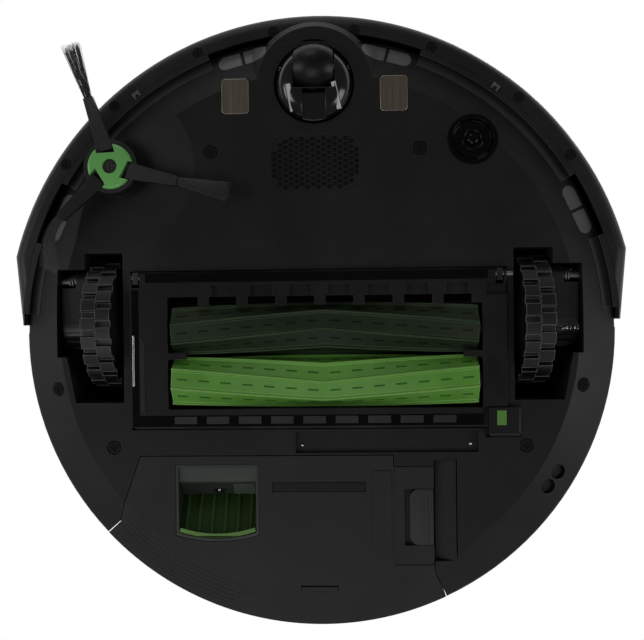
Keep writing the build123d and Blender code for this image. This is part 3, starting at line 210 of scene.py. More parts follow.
BODY_CENTRE = (0.0, 6.0)
CASTER_CENTRE = (0.0, -128.4)
NOSE_SECTION = [(24, 13.03), (31, 13.03), (34.6, 16.6), (34.6, 17.7), (24, 17.7)]
NOSE_SPAN = (-138, -42)
nose = swept_piece("caster_nose", NOSE_SECTION, CASTER_CENTRE, *NOSE_SPAN, cover_black, "chassis")
# The rim strips' paler grey is painted light over the shadow under the bumper lip.
rim_painted_light = moulded("rim painted light against lip shadow", rgb(44, 44, 43), rgb(60, 60, 59), 0.55, 2600, 0.3, 0.05)
RIM_SECTION = [(155.5, 20.1), (162.4, 23.55), (162.4, 23.8), (155.5, 20.35)]
LIP_SPANS = {
    "right_rear": (184.0, 198.2), "right_front": (210.8, 249.0),
    "left_front": (291.0, 329.2), "left_rear": (341.8, 356.0),
}
for place, (first, last) in LIP_SPANS.items():
    strip = swept_piece(place + "_rim_strip", RIM_SECTION, BODY_CENTRE, first, last, rim_painted_light, "chassis")


# Grip patch between the contacts: a rounded panel of small overlapping scales.
# It is embossed in the bottom cover, and its unpolished plastic looks darker than the rest of it.
PATCH = {
    "Width": 44.6 * MM, "Length": 27.6 * MM, "Corner": 6.6 * MM, "Pitch": 3.1 * MM, "Scale height": 0.5 * MM,
}
PATCH_PLACE = (0, -85.6, 13.6)


def layout(name, inputs):
    """Empty geometry tree with named inputs, a material input and a geometry output."""
    tree = bpy.data.node_groups.new(name, "GeometryNodeTree")
    tree.interface.new_socket("Geometry", in_out="OUTPUT", socket_type="NodeSocketGeometry")
    for label, kind in inputs:
        tree.interface.new_socket(label, in_out="INPUT", socket_type="NodeSocket" + kind)
    tree.interface.new_socket("Finish", in_out="INPUT", socket_type="NodeSocketMaterial")
    return tree, tree.nodes.new("NodeGroupInput").outputs, tree.nodes.new("NodeGroupOutput").inputs[0]


def close_layout(tree, geometry, finish, end):
    """Realize the instances, give them their finish and pass them on."""
    real = node(tree, "GeometryNodeRealizeInstances", i0=geometry).outputs[0]
    done = node(tree, "GeometryNodeSetMaterial", Geometry=real, Material=finish).outputs[0]
    tree.links.new(done, end)


def lay_out(name, tree, finish, body, values, place=(0, 0, 0), turn=0.0):
    """Run a geometry tree once and keep the result as a plain mesh that rides on a body."""
    piece = bpy.data.objects.new(name, bpy.data.meshes.new(name))
    bpy.context.scene.collection.objects.link(piece)
    run = piece.modifiers.new("layout", "NODES")
    run.node_group = tree
    for item in tree.interface.items_tree:
        if item.in_out == "INPUT":
            run[item.identifier] = finish if item.name == "Finish" else values[item.name]
    ready = piece.evaluated_get(bpy.context.evaluated_depsgraph_get())
    mesh = bpy.data.meshes.new_from_object(ready)
    piece.modifiers.clear()
    piece.data = mesh
    mesh.transform(Matrix.Translation(Vector(place) * MM) @ Matrix.Rotation(radians(turn), 4, "Z"))
    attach(piece, body)
    return piece


def past_corner(tree, place, size, corner):
    """How far a place on one axis lies beyond the start of the rounded corner."""
    straight = calc(tree, "SUBTRACT", calc(tree, "MULTIPLY", size, 0.5), corner)
    return calc(tree, "MAXIMUM", calc(tree, "SUBTRACT", calc(tree, "ABSOLUTE", place), straight), 0.0)


scales, given, end = layout("scale panel", [(key, "Float") for key in PATCH])
across = calc(scales, "ADD", calc(scales, "FLOOR", calc(scales, "DIVIDE", given["Width"], given["Pitch"])), 2.0)
along = calc(scales, "ADD", calc(scales, "FLOOR", calc(scales, "DIVIDE", given["Length"], given["Pitch"])), 2.0)
grid = node(
    scales, "GeometryNodeMeshGrid", Size_X=given["Width"], Size_Y=given["Length"],
    Vertices_X=across, Vertices_Y=along,
)
column = calc(scales, "FLOOR", calc(scales, "DIVIDE", node(scales, "GeometryNodeInputIndex").outputs[0], along))
odd = calc(scales, "MODULO", column, 2.0)
shift = calc(scales, "MULTIPLY", calc(scales, "SUBTRACT", odd, 0.5), calc(scales, "MULTIPLY", given["Pitch"], 0.5))
step = node(scales, "ShaderNodeCombineXYZ", Y=shift)
moved = node(scales, "GeometryNodeSetPosition", Geometry=grid.outputs["Mesh"], Offset=step.outputs[0])
spot = node(scales, "ShaderNodeSeparateXYZ", Vector=node(scales, "GeometryNodeInputPosition").outputs[0]).outputs
over_x = past_corner(scales, spot[0], given["Width"], given["Corner"])
over_y = past_corner(scales, spot[1], given["Length"], given["Corner"])
over = node(scales, "ShaderNodeCombineXYZ", X=over_x, Y=over_y).outputs[0]
far = node(scales, "ShaderNodeVectorMath", {"operation": "LENGTH"}, i0=over).outputs["Value"]
outside = node(scales, "FunctionNodeCompare", {"operation": "GREATER_THAN"}, A=far, B=given["Corner"]).outputs[0]
kept = node(scales, "GeometryNodeDeleteGeometry", {"domain": "POINT"}, Geometry=moved.outputs[0], Selection=outside)
scale = node(
    scales, "GeometryNodeMeshCone", Vertices=6, Side_Segments=1, Depth=given["Scale height"],
    Radius_Top=calc(scales, "MULTIPLY", given["Pitch"], 0.22),
    Radius_Bottom=calc(scales, "MULTIPLY", given["Pitch"], 0.56),
).outputs["Mesh"]
spread = node(
    scales, "GeometryNodeInstanceOnPoints", Points=kept.outputs[0], Instance=scale,
    Rotation=(pi, 0.12, 0.0), Scale=(1.0, 0.72, 1.0),
)
close_layout(scales, spread.outputs[0], given["Finish"], end)
patch_black = moulded("patch black", rgb(8, 8, 8), rgb(26, 26, 25), 0.55, 3200, 0.25, 0.01, 0.1)
grip = lay_out("grip_scales", scales, patch_black, "chassis", PATCH, place=PATCH_PLACE)


# Screws: black-zinc countersunk screws of the cover, the bumper lip and the side brush.
# Their cross recesses are polished by the driver.
screw_black = moulded("blackened screw", rgb(30, 30, 31), rgb(120, 118, 114), 0.36, 4200, 0.15, 0.06, 0.6, 0.7, 0.2)
dress(screw_black, "brush_screw")
sunk_black = moulded("sunk screw", rgb(11, 11, 11), rgb(52, 52, 51), 0.5, 4200, 0.15, 0.03, 0.15, 0.6, 0.15)
dress(sunk_black, "bottom_screws", "bumper_screws")


# Cliff-sensor panes: smoked polycarbonate, two panes to a sensor, snapped into the bevel.
# Their faces are smooth, with a light film of dust.
cliff_grey = moulded("smoked pane", rgb(86, 86, 86), rgb(112, 112, 112), 0.3, 900, 0.05, 0.08, 0.4, 0.3)
dress(cliff_grey, "cliff_windows")


# Charging contacts: nickel-plated spring steel pads, brushed lengthwise and bent over at their edges.
# Each slides on the dock's pins and carries fine lengthwise scratches.
contact_nickel, tree, shader, place = surface("contact nickel")
drawn = node(tree, "ShaderNodeMapping", Vector=place, Scale=(900.0, 22.0, 60.0)).outputs[0]
lines = node(tree, "ShaderNodeTexNoise", Vector=drawn, Scale=1.0, Detail=4.0).outputs["Fac"]
stains = node(tree, "ShaderNodeTexNoise", Vector=place, Scale=90.0, Detail=3.0).outputs["Fac"]
edges = node(tree, "ShaderNodeGroup", {"node_tree": rubbed_and_lit_edge}, Radius=0.5 * MM)
bare = tint(tree, lines, rgb(120, 111, 98), rgb(154, 144, 129))
stained = tint(tree, calc(tree, "MULTIPLY", stains, 0.5), bare, rgb(120, 106, 90))
tree.links.new(tint(tree, edges.outputs["Mask"], stained, rgb(215, 208, 196)), shader.inputs["Base Color"])
tree.links.new(calc(tree, "ADD", calc(tree, "MULTIPLY", lines, 0.22), 0.26), shader.inputs["Roughness"])
relief = node(
    tree, "ShaderNodeBump", Strength=0.25, Distance=0.05 * MM, Height=lines, Normal=edges.outputs["Normal"],
)
tree.links.new(relief.outputs["Normal"], shader.inputs["Normal"])
shader.inputs["Metallic"].default_value = 1.0
dress(contact_nickel, "charging_contacts")


# Floor-tracking lens: a black acrylic dish let into the cover, with a small domed lens in a ring.
# The dish is polished, so it shows as the darkest spot of the underside.
LENS = (85.2, -96.7, 13.0)
lens_black = moulded("polished acrylic", rgb(5, 5, 6), rgb(28, 28, 30), 0.12, 700, 0.03, 0.01, 0.15, 0.3)
dress(lens_black, "floor_lens")


def turned_piece(name, profile, centre, finish, body, turn=Matrix(), steps=40):
    """Round piece from its half profile of (radius, height) points, upright before its turn."""
    mesh = bmesh.new()
    rings = []
    for radius, height in profile:
        angles = [2 * pi * i / steps for i in range(steps)]
        rings.append([mesh.verts.new((radius * cos(a), radius * sin(a), height)) for a in angles])
    for low, high in zip(rings, rings[1:]):
        for i in range(steps):
            j = (i + 1) % steps
            mesh.faces.new((low[i], low[j], high[j], high[i]))
    bmesh.ops.remove_doubles(mesh, verts=mesh.verts, dist=1e-4)
    bmesh.ops.holes_fill(mesh, edges=mesh.edges)
    bmesh.ops.recalc_face_normals(mesh, faces=mesh.faces)
    bmesh.ops.transform(mesh, matrix=Matrix.Scale(MM, 4) @ Matrix.Translation(centre) @ turn, verts=mesh.verts)
    for face in mesh.faces:
        face.smooth = len(face.verts) == 4
    return keep(mesh, name, finish, body)


DOME_PROFILE = [(0, -0.9), (1.6, -0.75), (2.7, -0.3), (3.2, 0.3), (3.2, 1.5), (0, 1.5)]
LENS_RING_PROFILE = [(4.4, 1.5), (4.4, 0.5), (5.6, 0.5), (6.0, 0.9), (6.0, 1.5), (4.4, 1.5)]
dome = turned_piece("lens_dome", DOME_PROFILE, LENS, lens_black, "chassis")
lens_ring = turned_piece("lens_ring", LENS_RING_PROFILE, LENS, lens_black, "chassis")


# Bumper: one C-shaped ABS skin on sprung arms, with a dark infra-red window across its face.
# Its lower lip is a stepped flange with two guide hooks that are polished by rubbing.
bumper_black = moulded("bumper black", rgb(19, 19, 19), rgb(60, 60, 59), 0.44, 2400, 0.25, 0.04, 0.3)
window_dark = moulded("infra-red window", rgb(10, 9, 11), rgb(40, 38, 42), 0.1, 500, 0.02, 0.08, 0.5, 0.2)
dress(bumper_black, "bumper_shell")
dress(window_dark, "bumper_window")


def plate(mesh, low, high, ease=0.15):
    """Add a box with eased edges, given by two corners in mm."""
    size = [b - a for a, b in zip(low, high)]
    middle = [(a + b) / 2 for a, b in zip(low, high)]
    made = bmesh.ops.create_cube(mesh, matrix=Matrix.Translation(middle) @ Matrix.Diagonal((*size, 1)))
    edges = list({edge for vert in made["verts"] for edge in vert.link_edges})
    bmesh.ops.bevel(mesh, geom=edges, offset=ease, segments=2, affect="EDGES", profile=0.6)


def close_plates(mesh, name, finish, body, turn=Matrix()):
    """Scale a bmesh drawn in mm, place it and keep it as a piece."""
    bmesh.ops.transform(mesh, matrix=Matrix.Scale(MM, 4) @ turn, verts=mesh.verts)
    return keep(mesh, name, finish, body)


LIP_LOW = 18.5
FLANGE_SECTION = [(161.1, LIP_LOW), (164.35, LIP_LOW), (164.35, 21.0), (160.8, 21.0), (160.8, 18.8)]
for place, (first, last) in LIP_SPANS.items():
    flange = swept_piece(place + "_flange", FLANGE_SECTION, BODY_CENTRE, first, last, bumper_black, "bumper")
HOOK_X = 99.0
HOOK_Y = -126.6
HOOK_TURN = 36.8
hook_grey = moulded("polished hook", rgb(70, 70, 69), rgb(128, 128, 126), 0.3, 900, 0.05, 0.05, 0.35, 0.5, 0.3)
for side, name in ((1, "left_bumper_hook"), (-1, "right_bumper_hook")):
    hook = bmesh.new()
    plate(hook, (-2.2, -0.8, -0.7), (2.2, 0.8, 0.2), 0.3)
    plate(hook, (-2.2, -0.6, -0.9), (-1.0, 2.6, 0.2), 0.25)
    plate(hook, (1.0, -0.6, -0.9), (2.2, 2.6, 0.2), 0.25)
    facing = Matrix.Rotation(radians(side * HOOK_TURN), 4, "Z")
    spot = Matrix.Translation((side * HOOK_X, HOOK_Y, LIP_LOW)) @ facing
    close_plates(hook, name, hook_grey, "bumper", spot)


# Top cover, deck disc, buttons and light ring: satin charcoal lid with a darker polished deck.
# The buttons carry the plain signs for power, return and spot.
top_black = moulded("lid charcoal", rgb(30, 30, 31), rgb(70, 70, 70), 0.42, 2300, 0.2, 0.16, 0.35)
deck_dark = moulded("deck satin", rgb(20, 20, 22), rgb(70, 70, 72), 0.26, 1500, 0.06, 0.2, 0.45)
button_grey = moulded("button grey", rgb(52, 52, 54), rgb(110, 110, 110), 0.38, 2000, 0.12, 0.1, 0.4)
light_white = moulded("light pipe", rgb(188, 192, 194), rgb(220, 222, 224), 0.3, 1200, 0.06, 0.1, 0.4, 0.2)
dress(top_black, "top_cover")
dress(deck_dark, "deck_disc")
dress(button_grey, "main_button", "left_button", "right_button")
dress(light_white, "light_ring")
KEY_TOP = 86.8
KEY_Y = -64.0
SIDE_KEY_X = 34.0
sign_white = moulded("printed sign", rgb(200, 200, 200), rgb(214, 214, 214), 0.5, 2600, 0.1, 0.1, 0.3, 0.1)


def stroke(mesh, points, width, closed=False):
    """Add a flat line along points in mm, raised a little from what it lies on."""
    count = len(points)
    rails = []
    for i, point in enumerate(points):
        before = points[i - 1] if closed or i else point
        after = points[(i + 1) % count] if closed or i + 1 < count else point
        along = (Vector(after) - Vector(before)).normalized()
        off = Vector((-along.y, along.x)) * width / 2
        rails.append([
            mesh.verts.new((*(Vector(point) + share * off), height))
            for share, height in ((1, -0.05), (1, 0.06), (-1, 0.06), (-1, -0.05))
        ])
    skin(mesh, rails, closed)


def ring_points(radius, first, last, count):
    """Points along an arc, in degrees."""
    angles = [radians(first + (last - first) * i / count) for i in range(count + 1)]
    return [(radius * cos(a), radius * sin(a)) for a in angles]


power = bmesh.new()
stroke(power, ring_points(4.4, -52, 232, 36), 0.9)
stroke(power, [(0, -5.8), (0, -1.2)], 0.9)
home = bmesh.new()
stroke(home, [(-2.2, 2.4), (-2.2, -0.6), (0, -2.8), (2.2, -0.6), (2.2, 2.4)], 0.6, True)
target = bmesh.new()
stroke(target, ring_points(2.6, 0, 350, 35), 0.6, True)
stroke(target, ring_points(0.5, 0, 330, 11), 0.7, True)
for sign, x, name, body in (
    (power, 0.0, "power_sign", "main_key"),
    (home, SIDE_KEY_X, "home_sign", "left_key"),
    (target, -SIDE_KEY_X, "spot_sign", "right_key"),
):
    printed = close_plates(sign, name, sign_white, body, Matrix.Translation((x, KEY_Y, KEY_TOP)))


# Drive wheels: lugged nitrile tyres on glass-filled rims, each hung from a swing arm with its gear drum.
# Steel axles, pivot pins and torsion springs carry them in the wells, and a polished spool shows on the left.
# The pale grey of the tyre's lug edges is a painted highlight.
tyre_rubber = moulded("tyre rubber", rgb(10, 10, 10), rgb(150, 150, 147), 0.42, 1700, 0.4, 0.06, 0.45, 0.85, 0.5)
rim_black = moulded("rim nylon", rgb(18, 18, 18), rgb(52, 52, 52), 0.42, 1900, 0.25, 0.16, 0.3)
arm_black = moulded("arm nylon", rgb(21, 21, 21), rgb(110, 110, 109), 0.26, 1800, 0.2, 0.05, 0.6, 0.6)
dress(tyre_rubber, "left_tyre", "right_tyre")
dress(rim_black, "left_wheel_rim", "right_wheel_rim")
dress(arm_black, "left_wheel_arm", "right_wheel_arm")


def turned_steel(name, colour, bright, roughness):
    """Machined or drawn steel: fine turning lines, cloudy oxide and bright edges."""
    material, tree, shader, place = surface(name)
    drawn = node(tree, "ShaderNodeMapping", Vector=place, Scale=(1800.0, 120.0, 120.0)).outputs[0]
    lines = node(tree, "ShaderNodeTexNoise", Vector=drawn, Scale=1.0, Detail=3.0).outputs["Fac"]
    oxide = node(tree, "ShaderNodeTexNoise", Vector=place, Scale=160.0, Detail=4.0).outputs["Fac"]
    edges = node(tree, "ShaderNodeGroup", {"node_tree": rubbed_and_lit_edge}, Radius=0.3 * MM)
    shade = tint(tree, oxide, tuple(0.6 * c for c in colour[:3]) + (1,), colour)
    tree.links.new(tint(tree, edges.outputs["Mask"], shade, bright), shader.inputs["Base Color"])
    tree.links.new(calc(tree, "ADD", calc(tree, "MULTIPLY", lines, 0.2), roughness), shader.inputs["Roughness"])
    relief = node(
        tree, "ShaderNodeBump", Strength=0.2, Distance=0.03 * MM, Height=lines, Normal=edges.outputs["Normal"],
    )
    tree.links.new(relief.outputs["Normal"], shader.inputs["Normal"])
    shader.inputs["Metallic"].default_value = 1.0
    return material


pin_steel = turned_steel("pin steel", rgb(150, 150, 152), rgb(205, 205, 206), 0.28)
dress(pin_steel, "left_axle", "right_axle", "left_pivot_pin", "right_pivot_pin")
dress(pin_steel, "left_wheel_spring", "right_wheel_spring", "caster_axle", "frame_pins", "brush_shaft")
spool_steel = turned_steel("polished spool", rgb(206, 206, 206), rgb(236, 236, 236), 0.14)
SPOOL_PLACE = (138.0, 5.6, 22.0)
SPOOL_PROFILE = [
    (0, -4.4), (2.0, -4.4), (2.0, -3.8), (1.1, -3.7), (1.1, -0.4), (1.9, -0.3),
    (1.9, 0.3), (1.1, 0.4), (1.1, 3.7), (2.0, 3.8), (2.0, 4.4), (0, 4.4),
]
ALONG_X = Matrix.Rotation(pi / 2, 4, "Y")
spool = turned_piece("drum_spool", SPOOL_PROFILE, SPOOL_PLACE, spool_steel, "left_arm", ALONG_X, 24)


# Caster: a barrel wheel in a polished swivel block that turns in a round well at the front.
# Both are glossy acetal, and a polished facet on either side of the block catches the light.
caster_gloss = moulded("polished acetal", rgb(5, 5, 5), rgb(40, 40, 40), 0.16, 600, 0.03, 0.01, 0.7, 0.3, 0.6)
caster_black = moulded("scuffed acetal", rgb(10, 10, 10), rgb(56, 56, 55), 0.36, 1200, 0.18, 0.03, 0.25)
dress(caster_gloss, "caster_swivel")
dress(caster_black, "caster_wheel")
facet_gloss = moulded("polished facet", rgb(8, 8, 8), rgb(60, 60, 60), 0.06, 400, 0.01, 0.0, 1.0, 0.3, 0.2)
for name, tilt, place, lean in (
    ("left_swivel_facet", 0.46, (12.2, -120.5, 8.2), 0.12),
    ("right_swivel_facet", -0.5, (-12.8, -119.8, 8.2), 0.36),
):
    facet = bmesh.new()
    plate(facet, (-1.6, -7.5, -0.3), (1.6, 7.5, 0.3), 0.2)
    up = Vector((tilt, -0.25, 0.84)).normalized()
    along = Vector((lean, 1.0, 0.0))
    along = (along - up * along.dot(up)).normalized()
    aim = Matrix((along.cross(up), along, up)).transposed().to_4x4()
    close_plates(facet, name, facet_gloss, "caster_fork", Matrix.Translation(place) @ aim)


# Side brush: three drooping rubber arms round a green cap, each ending in a fanned tuft of nylon bristles.
# One screw through the cap holds the brush on its gearbox shaft. Wear has bent one tuft sideways.
BRUSH = (-110.8, -84.7)
TUFT = {
    "Tufts": 2, "Strands": 150, "Reach": 30.4 * MM, "Sweep": 0.0, "Fall": 3.6 * MM,
    "Half width": 1.9 * MM, "Half depth": 0.9 * MM, "Fan": 0.085, "Stray": 0.03, "Hair": 0.085 * MM,
    "Start": 37.6 * MM, "Height": 5.3 * MM, "First turn": radians(-106.2), "Seed": 7,
}
BENT = {"Tufts": 1, "Reach": 25.2 * MM, "Sweep": -15.9 * MM, "First turn": radians(133.8), "Seed": 19}
WHOLE_NUMBERS = ("Tufts", "Strands", "Seed")
brush_rubber = moulded("brush rubber", rgb(25, 25, 25), rgb(60, 60, 60), 0.5, 1500, 0.3, 0.2, 0.3)
hub_green = moulded("hub green", rgb(100, 166, 88), rgb(170, 214, 150), 0.26, 1500, 0.1, 0.12, 0.5)
dress(brush_rubber, "brush_arms")
dress(hub_green, "brush_hub")

tufts, given, end = layout("bristle tufts", [(key, "Int" if key in WHOLE_NUMBERS else "Float") for key in TUFT])


def chance(tree, low, high, seed, offset):
    """Random value per point, from a fixed seed."""
    made = node(tree, "FunctionNodeRandomValue", {"data_type": "FLOAT"}, Seed=calc(tree, "ADD", seed, offset))
    for number, value in ((2, low), (3, high)):
        if isinstance(value, bpy.types.NodeSocket):
            tree.links.new(value, made.inputs[number])
        else:
            made.inputs[number].default_value = value
    return made.outputs[1]


def minus(tree, value):
    """The value with its sign turned."""
    return calc(tree, "MULTIPLY", value, -1.0)


bow = node(
    tufts, "ShaderNodeCombineXYZ", X=calc(tufts, "MULTIPLY", given["Reach"], 0.55),
    Z=calc(tufts, "MULTIPLY", given["Fall"], -0.75),
).outputs[0]
tip = node(
    tufts, "ShaderNodeCombineXYZ", X=given["Reach"], Y=given["Sweep"], Z=minus(tufts, given["Fall"]),
).outputs[0]
strand = node(
    tufts, "GeometryNodeCurveQuadraticBezier", Resolution=5, Start=(0, 0, 0), Middle=bow, End=tip,
).outputs[0]
round_hair = node(tufts, "GeometryNodeCurvePrimitiveCircle", Resolution=3, Radius=given["Hair"]).outputs[0]
hair = node(tufts, "GeometryNodeCurveToMesh", Curve=strand, Profile_Curve=round_hair, Fill_Caps=True).outputs[0]
roots = node(tufts, "GeometryNodeMeshLine", Count=given["Strands"], Offset=(0, 0, 0)).outputs[0]
side = chance(tufts, minus(tufts, given["Half width"]), given["Half width"], given["Seed"], 1)
deep = chance(tufts, minus(tufts, given["Half depth"]), given["Half depth"], given["Seed"], 2)
bundle = node(
    tufts, "GeometryNodeSetPosition", Geometry=roots,
    Position=node(tufts, "ShaderNodeCombineXYZ", Y=side, Z=deep).outputs[0],
).outputs[0]
at = node(tufts, "ShaderNodeSeparateXYZ", Vector=node(tufts, "GeometryNodeInputPosition").outputs[0]).outputs
fan = calc(tufts, "MULTIPLY", calc(tufts, "DIVIDE", at[1], given["Half width"]), given["Fan"])
sway = calc(tufts, "ADD", fan, chance(tufts, minus(tufts, given["Stray"]), given["Stray"], given["Seed"], 3))
lift = chance(tufts, minus(tufts, given["Stray"]), given["Stray"], given["Seed"], 4)
trimmed = chance(tufts, 0.84, 1.0, given["Seed"], 5)
tuft = node(
    tufts, "GeometryNodeInstanceOnPoints", Points=bundle, Instance=hair,
    Rotation=node(tufts, "ShaderNodeCombineXYZ", Y=lift, Z=sway).outputs[0],
    Scale=node(tufts, "ShaderNodeCombineXYZ", X=trimmed, Y=1.0, Z=1.0).outputs[0],
).outputs[0]
placed = node(
    tufts, "GeometryNodeTransform", Geometry=tuft,
    Translation=node(tufts, "ShaderNodeCombineXYZ", X=given["Start"], Z=given["Height"]).outputs[0],
).outputs[0]
arms = node(tufts, "GeometryNodeMeshLine", Count=given["Tufts"], Offset=(0, 0, 0)).outputs[0]
number = node(tufts, "GeometryNodeInputIndex").outputs[0]
turn = calc(tufts, "ADD", given["First turn"], calc(tufts, "MULTIPLY", number, 2 * pi / 3))
whole_tuft = node(tufts, "GeometryNodeGeometryToInstance", i0=placed).outputs[0]
around = node(
    tufts, "GeometryNodeInstanceOnPoints", Points=arms, Instance=whole_tuft,
    Rotation=node(tufts, "ShaderNodeCombineXYZ", Z=turn).outputs[0],
).outputs[0]
close_layout(tufts, around, given["Finish"], end)
bristle_black = moulded("bristle nylon", rgb(84, 84, 84), rgb(120, 120, 120), 0.34, 3000, 0.05, 0.15, 0.6, 0.15)
bristles = lay_out("bristle_tufts", tufts, bristle_black, "side_brush", TUFT, place=(*BRUSH, 0))
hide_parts("brush_bristles")
bent_tuft = lay_out("bent_tuft", tufts, bristle_black, "side_brush", {**TUFT, **BENT}, place=(*BRUSH, 0))


# Cleaning head: a black housing with gearbox and bearing block, fixed inside the chassis bay.
# Hair and dust gather in it, so its plastic is the dustiest.
head_black = moulded("head black", rgb(15, 15, 15), rgb(44, 44, 43), 0.5, 2000, 0.3, 0.3, 0.25)
dress(head_black, "head_housing", "head_gearbox", "bearing_block", "suction_duct", "fan_housing")


# Rollers: soft moulded rubber sleeves on plastic cores, eight faces twisted into a chevron.
# Raised ribs part the faces, and a row of short slits runs down the middle of each face, drawn as dark dashes of
# painted shade.
SLEEVE_MIDDLE = 3.95
SLEEVE_HALF = 82.45
SLEEVE_Z = 18.0
SLEEVE_BORE = 8.1
SLEEVE_SIDES = 8
SLEEVE_STEPS = 60
FIN = ((-4.2, 12.8), (-1.4, 14.1), (1.4, 14.1), (4.2, 12.8))
TWIST = 34.0
FRONT_AXIS = 4.2
BACK_AXIS = 32.9
ROLLER = {
    "Half length": SLEEVE_HALF * MM, "Middle": SLEEVE_MIDDLE * MM, "Axis height": SLEEVE_Z * MM,
    "Face radius": 12.2 * MM, "Rows": SLEEVE_SIDES, "Slits in a row": 14,
    "Slit length": 5.6 * MM, "Slit width": 0.8 * MM, "Slit depth": 0.3 * MM,
}
# The pale rib edges of both sleeves are painted highlights. The front sleeve is drawn much darker and greyer than
# the back one.
roller_green = moulded("roller green", rgb(86, 142, 52), rgb(176, 222, 128), 0.46, 1400, 0.3, 0.1, 0.35, 0.9, 0.6)
roller_dark = moulded("roller grey-green", rgb(26, 39, 22), rgb(84, 110, 76), 0.5, 1400, 0.3, 0.04, 0.2, 0.9, 0.6)
# The slits' darker colours are painted shade inside the cuts.
slit_shade_green = moulded("painted slit shade green", rgb(50, 92, 30), rgb(60, 100, 40), 0.6, 1400, 0.2, 0.1, 0.2, 0.2)
slit_shade_dark = moulded("painted slit shade grey-green", rgb(5, 8, 4), rgb(18, 26, 15), 0.6, 1400, 0.2, 0.03, 0.2, 0.2)
core_grey = moulded("core grey", rgb(58, 58, 58), rgb(96, 96, 96), 0.45, 1600, 0.2, 0.2, 0.3)
dress(core_grey, "back_roller_core", "front_roller_core")


def chevron_sleeve(name, axis_y, twist, finish, body):
    """Rubber sleeve whose eight faces and ribs are twisted one way to the middle and back to the other end."""
    mesh = bmesh.new()
    rows = []
    for i in range(SLEEVE_STEPS + 1):
        way = 2 * i / SLEEVE_STEPS - 1
        x = SLEEVE_MIDDLE + way * SLEEVE_HALF
        outer = []
        inner = []
        for corner in range(4 * SLEEVE_SIDES):
            shift, radius = FIN[corner % 4]
            angle = radians(360 / SLEEVE_SIDES * (corner // 4) + shift + twist * abs(way))
            for ring, reach in ((outer, radius), (inner, SLEEVE_BORE)):
                ring.append(mesh.verts.new((x, axis_y + reach * cos(angle), SLEEVE_Z + reach * sin(angle))))
        rows.append((outer, inner))
    around = [(k, (k + 1) % (4 * SLEEVE_SIDES)) for k in range(4 * SLEEVE_SIDES)]
    for (outer, inner), (next_outer, next_inner) in zip(rows, rows[1:]):
        for k, m in around:
            mesh.faces.new((outer[k], outer[m], next_outer[m], next_outer[k]))
            mesh.faces.new((inner[k], inner[m], next_inner[m], next_inner[k]))
    for outer, inner in (rows[0], rows[-1]):
        for k, m in around:
            mesh.faces.new((outer[k], outer[m], inner[m], inner[k]))
    bmesh.ops.recalc_face_normals(mesh, faces=mesh.faces)
    return close_plates(mesh, name, finish, body)


front_sleeve = chevron_sleeve("front_chevron_sleeve", FRONT_AXIS, TWIST, roller_dark, "front_roller")
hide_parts("front_roller_sleeve")
back_sleeve = chevron_sleeve("back_chevron_sleeve", BACK_AXIS, -TWIST, roller_green, "back_roller")
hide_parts("back_roller_sleeve")

SLIT_COUNTS = ("Rows", "Slits in a row")
slits, given, end = layout(
    "roller slits", [(key, "Int" if key in SLIT_COUNTS else "Float") for key in (*ROLLER, "Twist", "Axis")],
)
number = node(slits, "GeometryNodeInputIndex").outputs[0]
row = calc(slits, "FLOOR", calc(slits, "DIVIDE", number, given["Slits in a row"]))
place_in_row = calc(slits, "ADD", calc(slits, "MODULO", number, given["Slits in a row"]), 0.5)
passed = calc(slits, "DIVIDE", calc(slits, "MULTIPLY", place_in_row, 2.0), given["Slits in a row"])
way = calc(slits, "SUBTRACT", passed, 1.0)
step = calc(slits, "DIVIDE", 2 * pi, given["Rows"])
straight = calc(slits, "MULTIPLY", calc(slits, "ADD", row, 0.5), step)
angle = calc(slits, "ADD", straight, calc(slits, "MULTIPLY", calc(slits, "ABSOLUTE", way), given["Twist"]))
cosine = calc(slits, "COSINE", angle)
sine = calc(slits, "SINE", angle)
spot = node(
    slits, "ShaderNodeCombineXYZ",
    X=calc(slits, "ADD", calc(slits, "MULTIPLY", way, given["Half length"]), given["Middle"]),
    Y=calc(slits, "ADD", calc(slits, "MULTIPLY", cosine, given["Face radius"]), given["Axis"]),
    Z=calc(slits, "ADD", calc(slits, "MULTIPLY", sine, given["Face radius"]), given["Axis height"]),
).outputs[0]
half_twist = calc(slits, "MULTIPLY", calc(slits, "SIGN", way), given["Twist"])
lean = calc(slits, "DIVIDE", calc(slits, "MULTIPLY", half_twist, given["Face radius"]), given["Half length"])
along = node(
    slits, "ShaderNodeCombineXYZ", X=1.0, Y=calc(slits, "MULTIPLY", minus(slits, sine), lean),
    Z=calc(slits, "MULTIPLY", cosine, lean),
).outputs[0]
outward = node(slits, "ShaderNodeCombineXYZ", Y=cosine, Z=sine).outputs[0]
slit_turn = node(
    slits, "FunctionNodeAxesToRotation", {"primary_axis": "Z", "secondary_axis": "X"}, i0=outward, i1=along,
).outputs[0]
count = calc(slits, "MULTIPLY", given["Rows"], given["Slits in a row"])
line = node(slits, "GeometryNodeMeshLine", Count=count).outputs[0]
points = node(slits, "GeometryNodeSetPosition", Geometry=line, Position=spot).outputs[0]
size = node(
    slits, "ShaderNodeCombineXYZ", X=given["Slit length"], Y=given["Slit width"], Z=given["Slit depth"],
).outputs[0]
slit = node(slits, "GeometryNodeMeshCube", Size=size).outputs["Mesh"]
rows = node(slits, "GeometryNodeInstanceOnPoints", Points=points, Instance=slit, Rotation=slit_turn).outputs[0]
close_layout(slits, rows, given["Finish"], end)
front_values = {**ROLLER, "Twist": radians(TWIST), "Axis": FRONT_AXIS * MM}
back_values = {**ROLLER, "Twist": radians(-TWIST), "Axis": BACK_AXIS * MM}
front_slits = lay_out("front_roller_slits", slits, slit_shade_dark, "front_roller", front_values)
back_slits = lay_out("back_roller_slits", slits, slit_shade_green, "back_roller", back_values)
